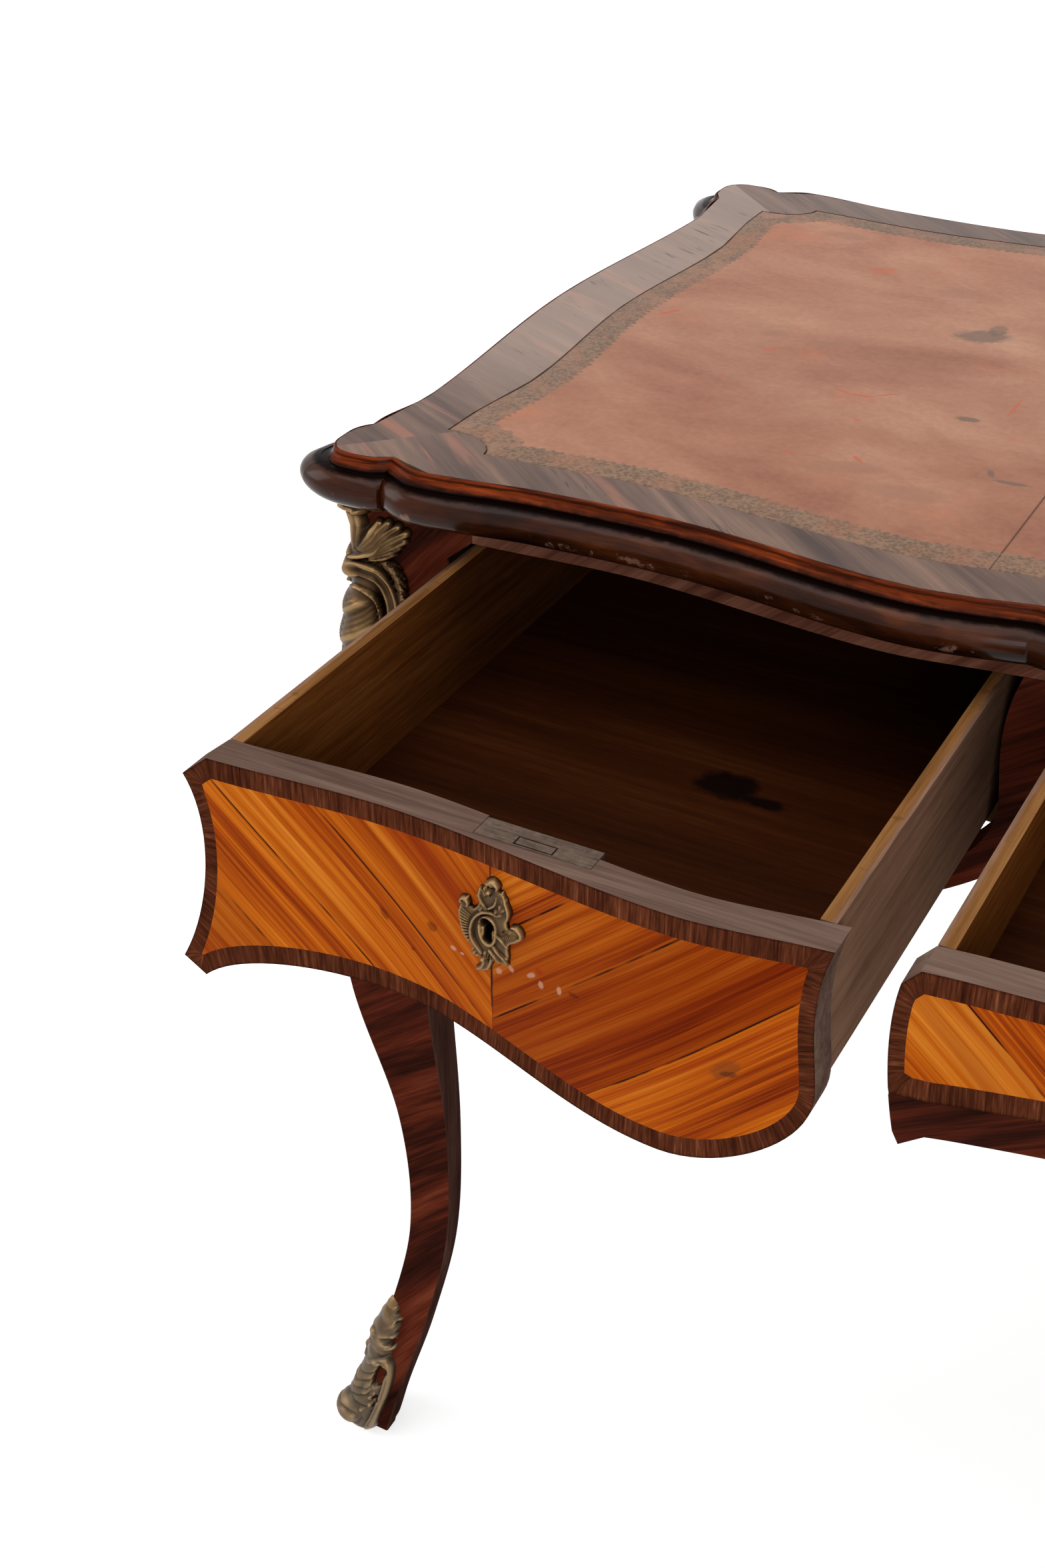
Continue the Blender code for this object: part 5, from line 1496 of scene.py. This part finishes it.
def chute_relief():
    """Corner mount: scrolled stem, acanthus leaf, C-scroll with a string of husks, drooping ribbed leaf."""
    mount = Relief(-30, 30, 0, 125, 0.65, True)
    mount.spine(((0, 5, 3), (14, 11, 7), (30, 14.5, 10.5), (45, 14.5, 13), (60, 12.5, 15), (72, 9, 16),
                 (80, 10.5, 15), (90, 9, 13), (98, 9.5, 9.5), (108, 9, 6.2), (116, 11, 5), (121, 9, 4.6)))
    phase = (mount.v - 1.5 * mount.u - 36) / 18
    share = phase - np.floor(phase)
    droop = (1 - share) ** 1.5 * np.clip(share / 0.12, 0, 1)
    mount.emboss(2.4 * droop + 0.28 * np.cos(2 * math.pi * (mount.v - 1.5 * mount.u) / 3.6), 4, 68)
    for place in (2, 4.2):
        mount.groove(((place, 117), (place, 108), (0.8 * place, 95)), 0.8, 1.4)
    mount.band(((5, 95), (13, 101.5), (20.5, 106)), (6, 9.5, 10.5, 7.5), (8, 7, 5.8, 4.6))
    for line in (((4, 96), (8.5, 105), (12, 112.5)), ((5, 96), (11.5, 106.5), (17, 113)),
                 ((6, 96), (14.5, 105.5), (22.5, 111.5)), ((7, 95.5), (17, 103), (27, 108.5)),
                 ((8, 95), (17, 99.5), (25.5, 104)), ((8, 94), (15.5, 97), (22, 100))):
        mount.band(line, (2.4, 3.5, 4.1, 2.9), (9.2, 7.8, 6.8, 4.4))
        mount.groove(line, 0.6, 0.7)
    mount.band(((8, 92), (14, 93), (19, 95.5)), (3, 3.4, 2.8), (8.5, 7, 5), 1)
    mount.band(((1, 90), (7, 94.5), (12, 99.5), (15, 103.5)), (2, 2.2, 1.8, 1), (12.5, 10, 8.6, 6.6))
    scroll = through([(0, 83), (5, 85.5), (10.5, 83), (15, 77), (17.8, 69), (18.6, 60), (17, 51.5),
                      (13, 46), (9.5, 47), (9.5, 50.5)])
    mount.band(scroll, (6.2, 5.8, 5.2, 4.8, 4.4, 3.6, 2.4), (15, 11.5, 9, 7.8, 7, 6.5, 6.5), 0, 4)
    mount.groove(scroll[8:-8], 2.8, 3)
    mount.band(((1.5, 73.5), (6, 73.5), (10.5, 68), (12.5, 60), (12, 52)), (1.3, 1.6, 1.6, 1),
               (12, 10, 8.6, 7.6))
    mount.leaf(((12, 90), (17, 87), (20.6, 81.5), (22.6, 74), (22.8, 65), (21, 56)),
               (2.6, 3.6, 4, 3.8, 3.4, 2), (6.8, 6.6, 5.8, 5.2, 4.6, 3.6), 7, 0.8)
    mount.band([(0, 120.3), (3.5, 119.4)], (4.6, 3.8), (15.5, 12))
    mount.groove(arc((0, 120.3), 3.2, -40, 220), 0.7, 1.2)
    return mount


def sabot_relief():
    """Shoe: pointed leaf up the corner, small and large C-scrolls round openings, ball toe."""
    mount = Relief(-31, 31, 0, 119, 0.65, True)
    mount.spine(((1, 8, 13), (6, 10, 17), (16, 9, 20), (28, 7.5, 21.5), (36, 6.6, 21.5), (46, 5.4, 20.5),
                 (57, 5, 17), (64, 5.4, 13.5), (72, 6.6, 13), (80, 8.4, 13.5), (90, 10, 12.5),
                 (98, 8.4, 11.5), (106, 7, 9), (113, 6, 6), (118, 3, 2.6)))
    mount.emboss(0.5 * np.cos(2 * math.pi * (mount.v + 1.1 * mount.u) / 12), 66, 114)
    mount.band(((2.5, 95), (6.5, 100.5), (10.5, 104.5)), (4.6, 4.2, 1.4), (8.4, 6.4, 3.8))
    mount.band(((1.5, 106), (3.5, 111), (4.6, 113.5)), (2.4, 2, 1), (6.6, 5, 3.4))
    mount.band(arc((8.6, 85), 5.6, 75, 310), (2.4, 3.2, 3.4, 2.8), (5.6, 7.2, 7.4, 5), 1)
    mount.bead((0, 89), (6, 5.5), 12)
    mount.bead((0, 79), (6.5, 5), 9.6)
    mount.bead((0, 40), (11, 17), 7.4)
    mount.bead((7.5, 40), (5.5, 12), 7)
    scroll = through([(3, 63), (7, 67), (12, 68.5), (16.5, 64), (19.2, 55), (20.2, 45), (20.2, 35),
                      (19.4, 25), (17.5, 16), (14, 8.5), (9, 4)])
    mount.band(scroll, (2.8, 3.6, 3.8, 3.8, 3.7, 3.7, 3.8), (6.6, 7.4, 6.8, 6.4, 6.4, 7, 8), 0, 3.4)
    mount.groove(scroll[10:-10], 0.9, 1)
    mount.bead((7, 66.5), (5.6, 3.6), 8.6)
    mount.leaf(((7, 20), (9.5, 30), (13, 39)), (6, 6.5, 3), (8, 7, 5.6), 4)
    for place, radius, height in (((14, 30), 3.2, 7.4), ((9, 24), 4, 8.6), ((12, 36), 2.8, 7)):
        mount.bead(place, radius, height)
    mount.ball((0, 17), (11.5, 12), 15)
    mount.groove([(0, 29), (12, 26)], 1.2, 1.6)
    mount.groove(arc((3.5, 17), 5.2, -40, 250), 1.1, 1.7)
    mount.groove(((1, 9), (6.5, 10.5), (11, 16)), 1, 1.2)
    for level in (33, 39.5, 46, 52.5):
        mount.groove(((0, level - 3), (4.5, level), (9.5, level + 4.5)), 1, 1.3)
    mount.band([(0, 5), (12, 6)], (5, 4.4), (11, 7))
    mount.pierce(((12.6, 60.5), (12, 54), (12.8, 48)), 2.6)
    mount.pierce([(9.4, 85.5), (11, 85)], 2.3)
    for notch in ((12.5, 94), (10.6, 102.5), (8, 109.5), (14.5, 76)):
        mount.pierce([notch, (notch[0] + 3, notch[1] + 1.2)], 1.7)
    mount.pierce([(16, 36), (16.4, 36)], 1.3)
    mount.height = np.minimum(mount.height, 5.5 * mount.v - 0.5)
    return mount


# Outline of the keyhole plate, in millimetres from the keyhole
PLATE = ((0.7, 23.3), (3.3, 25.1), (6, 24.2), (5.4, 20.6), (8.1, 20), (9.4, 16.7), (11.7, 11.1),
         (10.4, 6.4), (10.6, 2.6), (12.8, 3), (15.1, 5.6), (17.4, 4.8), (17.9, 2), (16.2, -2.5), (13.2, -5),
         (11.3, -6.6), (10.6, -9.3), (11, -13), (10, -16.6), (8, -18.5), (5.2, -18.2), (3.3, -18.4),
         (2.2, -20.5), (0.3, -24.7), (-2.7, -26.4), (-6.1, -27.5), (-6.9, -26), (-4.4, -23), (-4.2, -19.6),
         (-6.5, -20.2), (-8.9, -18.4), (-9.2, -13.6), (-11.5, -13.2), (-13.8, -10.2), (-15.2, -5),
         (-16, 0.4), (-15.2, 3.6), (-14, 7.2), (-12, 10.2), (-9.8, 10.6), (-9.4, 8), (-8, 6), (-5.8, 8),
         (-5, 10.8), (-6.4, 13), (-5.2, 15.6), (-2.8, 18.3))


def escutcheon_relief():
    """Rococo keyhole plate, lopsided: top scroll, fluted shells left and right, leaves and two screws."""
    plate = Relief(-19, 21, -29.5, 30, 0.36)
    plate.ground(through(list(PLATE) + [PLATE[0]], 4), 2.2, 1.1)
    plate.flutes((0, -3), 146, 236, 8.8, 15.5, 13, 0.55)
    plate.flutes((7, 6), -88, -14, 4, 11, 10, 0.5)
    plate.flutes((2, -8), -112, -28, 4.5, 13, 9, 0.5)
    plate.flutes((-3, -12), 170, 250, 4.5, 9, 5, 0.5)
    plate.flutes((1.5, 13), 75, 165, 2, 8.5, 6, 0.45)
    plate.band(arc((-11.8, 7.2), (2.3, 1.8), 200, -40), (1, 1.3, 1.1), (2.8, 3.6, 3.2))
    plate.band(((-3.4, 18), (-4, 14.5), (-2.6, 11), (0, 8.6)), (0.9, 1.1, 1.2, 0.9), (3, 3.2, 3.3, 3))
    plate.band(((0.2, 22.2), (3.2, 24), (5.4, 22.6), (5, 20.4)), (1.5, 1.7, 1.5, 1), (3.6, 4.2, 3.8, 3))
    plate.bead((2.6, 22.4), (2.8, 1.6), 3.8)
    plate.leaf(((5, 8), (7.6, 12), (8.4, 16), (7.6, 19.8)), (2.8, 3, 2, 0.7), (3.4, 3.5, 3.1, 2.4), 3)
    plate.band(((10.2, 7), (11, 11), (9.4, 15.6), (7.8, 19.6)), (1, 1.2, 0.9, 0.6), (3.2, 3.6, 3.2, 2.6))
    plate.band(((1, 9.5), (4, 12.5), (5, 17)), (1.6, 1.8, 0.9), (3.4, 3.4, 2.8), 1)
    plate.shell((-1.2, 6.8), 60, 190, 3.6, (2.8, 3.6, 3.2), 5)
    plate.band(arc((14.6, 1.6), (3.2, 2.8), 130, -75), (0.9, 1.2, 1.2, 0.9), (3, 3.8, 3.6, 2.8))
    plate.band(((4, -3), (7, -4.6), (10, -8)), (1.2, 1.4, 0.8), (3.4, 3.2, 2.6))
    plate.band(((2.4, -9), (5, -12), (8.4, -14.5), (9.6, -17)), (1.3, 1.7, 1.7, 1.2), (3.3, 3.5, 3.4, 2.8),
               1)
    plate.band(((1, -13), (4, -15.6), (5.6, -17.6)), (1.2, 1.4, 1), (3.2, 3.2, 2.6))
    plate.band(((-1.4, -15), (-1.8, -20), (-3.4, -24), (-6, -26.4)), (2.6, 2.6, 2, 1.3), (3, 3.2, 3, 2.6),
               1)
    plate.band(((5.2, 7.2), (1.8, 7.6), (-2.7, 5.9), (-6.4, 1.6), (-8.2, -4), (-8, -8.8), (-6.2, -12.2),
                (-3, -16.2)), (1.2, 1.6, 1.8, 1.8, 1.7, 1.2), (3.2, 4, 4.4, 4.4, 4.2, 3.4), 1)
    ring = [(0.2 + 4.3 * math.sin(a), -2.8 + 7.4 * math.cos(a)) for a in spread(0, 2 * math.pi, 28)]
    plate.band(ring, (1.3,) * 2, (3.4,) * 2)
    for place in ((1.8, 18.9), (-1.6, -18.2)):
        plate.bead(place, 1.8, 5.6)
        plate.groove([(place[0] - 0.4, place[1] + 1.5), (place[0] + 0.4, place[1] - 1.5)], 0.3, 0.7)
    plate.pierce([(-0.05, 0), (0.05, 0)], 2.7)
    plate.pierce([(0, 0), (0, -7.2)], 1.7)
    return plate


def build_mounts(finish):
    chute, sabot, plate = chute_relief(), sabot_relief(), escutcheon_relief()
    for name, x_sign, y_sign in CORNERS:
        piece("chased_chute_" + name, cast(chute, corner_wrap(CHUTE_FOOT, x_sign, y_sign)), [finish], "case",
              ["chute_" + name], crease=80)
        piece("chased_sabot_" + name, cast(sabot, corner_wrap(0.0, x_sign, y_sign)), [finish], "case",
              ["sabot_" + name], crease=80)
    for name, (key_x, key_z) in key_places().items():
        piece("chased_escutcheon_" + name, cast(plate, front_wrap(key_x, key_z)), [finish], "drawer_" + name,
              ["drawer_{}_escutcheon".format(name)], OPENED[name], 80)


# Drawers

def lock_places():
    side = SIDE_LEFT + SIDE_DRAWER_WIDTH / 2 + LOCK_OFFSET
    return {"left": side, "centre": 0.0, "right": -side}


def key_places():
    """Place of each keyhole in x and z."""
    side = SIDE_LEFT + SIDE_DRAWER_WIDTH / 2 + KEYHOLE_OFFSET
    level = DRAWER_TOP - KEYHOLE_DROP
    return {"left": (side, level), "centre": (0.0, DRAWER_TOP - CENTRE_KEYHOLE_DROP), "right": (-side, level)}


def drawer_board(outline, band=0.0):
    return veneered_board(outline, case_front, lambda x: case_front(x) + FRONT_THICKNESS, band)


def build_fronts(finishes):
    left, _ = side_front()
    centre, count = centre_front()
    bottom = centre[count:-count]
    step = [(x, z + STRIP) for x, z in bottom]
    level = step[0][1]
    edge = [p for p in centre[:count] if p[1] > level]
    low_edge = [p for p in centre[:count] if p[1] <= level]
    join = edge[-1][0] + STRIP_INSET
    upper = edge + [(join, level)] + step + [(-join, level)] + mirror_x(edge[::-1])
    lower = [(join, level - STRIP_GAP)] + low_edge + bottom + mirror_x(low_edge[::-1])
    lower += [(-join, level - STRIP_GAP)] + [(x, z - STRIP_GAP) for x, z in step[::-1]]
    for name, outline in (("left", left), ("centre", upper), ("right", mirror_x(left))):
        key, key_z = key_places()[name]
        lock = lock_places()[name]
        hole = loft([[(x, y, z) for x, z in keyhole(key, key_z)]
                     for y in (case_front(key) - 2 * PAST, case_front(key) + FRONT_THICKNESS + PAST)])
        rear = case_front(lock) + FRONT_THICKNESS + LOCK_PROUD
        half = LOCK_WIDTH / 2 + SEAT
        mortise = shape_box((lock - half, lock + half), (rear - LOCK_DEPTH - SEAT, rear + FRONT_THICKNESS),
                            (DRAWER_TOP - LOCK_HEIGHT - SEAT, DRAWER_TOP + PAST))
        looks = board_looks(finishes, "chevron_" + name, "front_edge", "inside")
        bm = cut(drawer_board(outline, BAND), hole, mortise)
        piece("shaped_front_" + name, bm, looks, "drawer_" + name, ["drawer_{}_front".format(name)],
              OPENED[name])
    looks = board_looks(finishes, "kingwood_strip", "kingwood_strip", "inside")
    piece("front_strip_centre", drawer_board(lower), looks, "drawer_centre", (), OPENED["centre"])


def dress(node, finish):
    """Give a CAD node a new material."""
    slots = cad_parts[node].data.materials
    slots.clear()
    slots.append(finish)


def build_drawers(finishes):
    build_fronts(finishes)
    for name in OPENED:
        for board in ("side_left", "side_right", "back", "bottom", "lock", "bolt"):
            dress("drawer_{}_{}".format(name, board), finishes[board])


# Studio

def area_light(name, place, aim, size, power):
    lamp = bpy.data.lights.new(name, "AREA")
    lamp.shape = "RECTANGLE"
    lamp.size, lamp.size_y = size
    lamp.energy = power
    made = in_scene(name, lamp)
    made.location = place
    made.rotation_euler = (Vector(aim) - Vector(place)).to_track_quat("-Z", "Y").to_euler()


def build_studio():
    scene = bpy.context.scene
    scene.view_settings.view_transform = "Standard"
    camera = in_scene("camera", bpy.data.cameras.new("camera"))
    camera.data.lens = CAMERA_LENS
    camera.data.sensor_width = CAMERA_SENSOR
    camera.location = CAMERA_PLACE
    camera.rotation_euler = (math.radians(90 - CAMERA_DOWN), 0.0, math.radians(CAMERA_TURN))
    scene.camera = camera

    bm = bmesh.new()
    bmesh.ops.create_grid(bm, x_segments=1, y_segments=1, size=FLOOR_REACH)
    mesh = bpy.data.meshes.new("floor")
    bm.to_mesh(mesh)
    bm.free()
    floor = in_scene("floor", mesh)
    finish = Finish("pale_floor")
    finish.colour = FLOOR_COLOUR
    finish.fill(finish.shader, Emission_Color=WHITE, Emission_Strength=finish.seen() * FLOOR_GLOW)
    mesh.materials.append(finish.done(0.9))

    world = bpy.data.worlds.new("studio")
    scene.world = world
    world.use_nodes = True
    nodes = Nodes(world.node_tree)
    nodes.fill(world.node_tree.nodes["Background"], Color=WHITE,
               Strength=nodes.seen() * (1.0 - WORLD_LIGHT) + WORLD_LIGHT)

    area_light("overhead", (-0.5, -0.5, 3.0), (-0.2, 0.0, 0.6), (2.4, 2.4), 34.0)
    area_light("front", (1.2, -3.0, 1.7), (-0.2, -0.1, 0.5), (1.6, 1.6), 38.0)
    area_light("left", (-3.0, -0.9, 1.8), (-0.4, -0.1, 0.5), (1.4, 1.8), 22.0)


def main():
    build_studio()
    steel = steel_finish()
    finishes = {
        "kingwood": kingwood("kingwood_front", 33.0),
        "kingwood_strip": kingwood("kingwood_strip", 28.0),
        "kingwood_rail_painted_light": kingwood("kingwood_rail_painted_light", 40.0, stops=KINGWOOD_RAIL_PAINTED_LIGHT),
        "kingwood_end": kingwood("kingwood_end", 33.0, "end"),
        "crossband": crossband(),
        "chevron_left": chevron("tulipwood_left", -DRAWER_SEAM, "front", 1, LEAVES_LEFT, LEAVES_RIGHT,
                                FRONT_MARKS),
        "chevron_centre": chevron("tulipwood_centre", 0.0),
        "chevron_right": chevron("tulipwood_right", DRAWER_SEAM, "front", -1, LEAVES_LEFT, LEAVES_RIGHT),
        "chevron_back": chevron("tulipwood_back", 0.0),
        "chevron_end": chevron("tulipwood_end", SHIFT, "end"),
        "front_edge": front_edge(),
        "inside": lining("front_inside", DARK_LINING),
        "side_left": drawer_side("drawer_side_left", 1.0),
        "side_right": drawer_side("drawer_side_right", -1.0),
        "back": lining("drawer_back", DARK_LINING),
        "bottom": lining("drawer_bottom", DARK_LINING, marks=SPILT_INK),
        "oak": lining("carcase_oak", OAK, 0.65),
        "lock": steel,
        "bolt": steel,
    }
    build_edges(moulding_finish())
    build_leather(leather_finish())
    dress("top_banding", top_veneer())
    dress("top_core", finishes["oak"])
    build_legs()
    build_case(finishes)
    build_drawers(finishes)
    for kind in ("outer", "inner", "centre"):
        for hand in ("left", "right"):
            dress("runner_{}_{}".format(kind, hand), finishes["oak"])
    build_mounts(bronze_finish())


main()
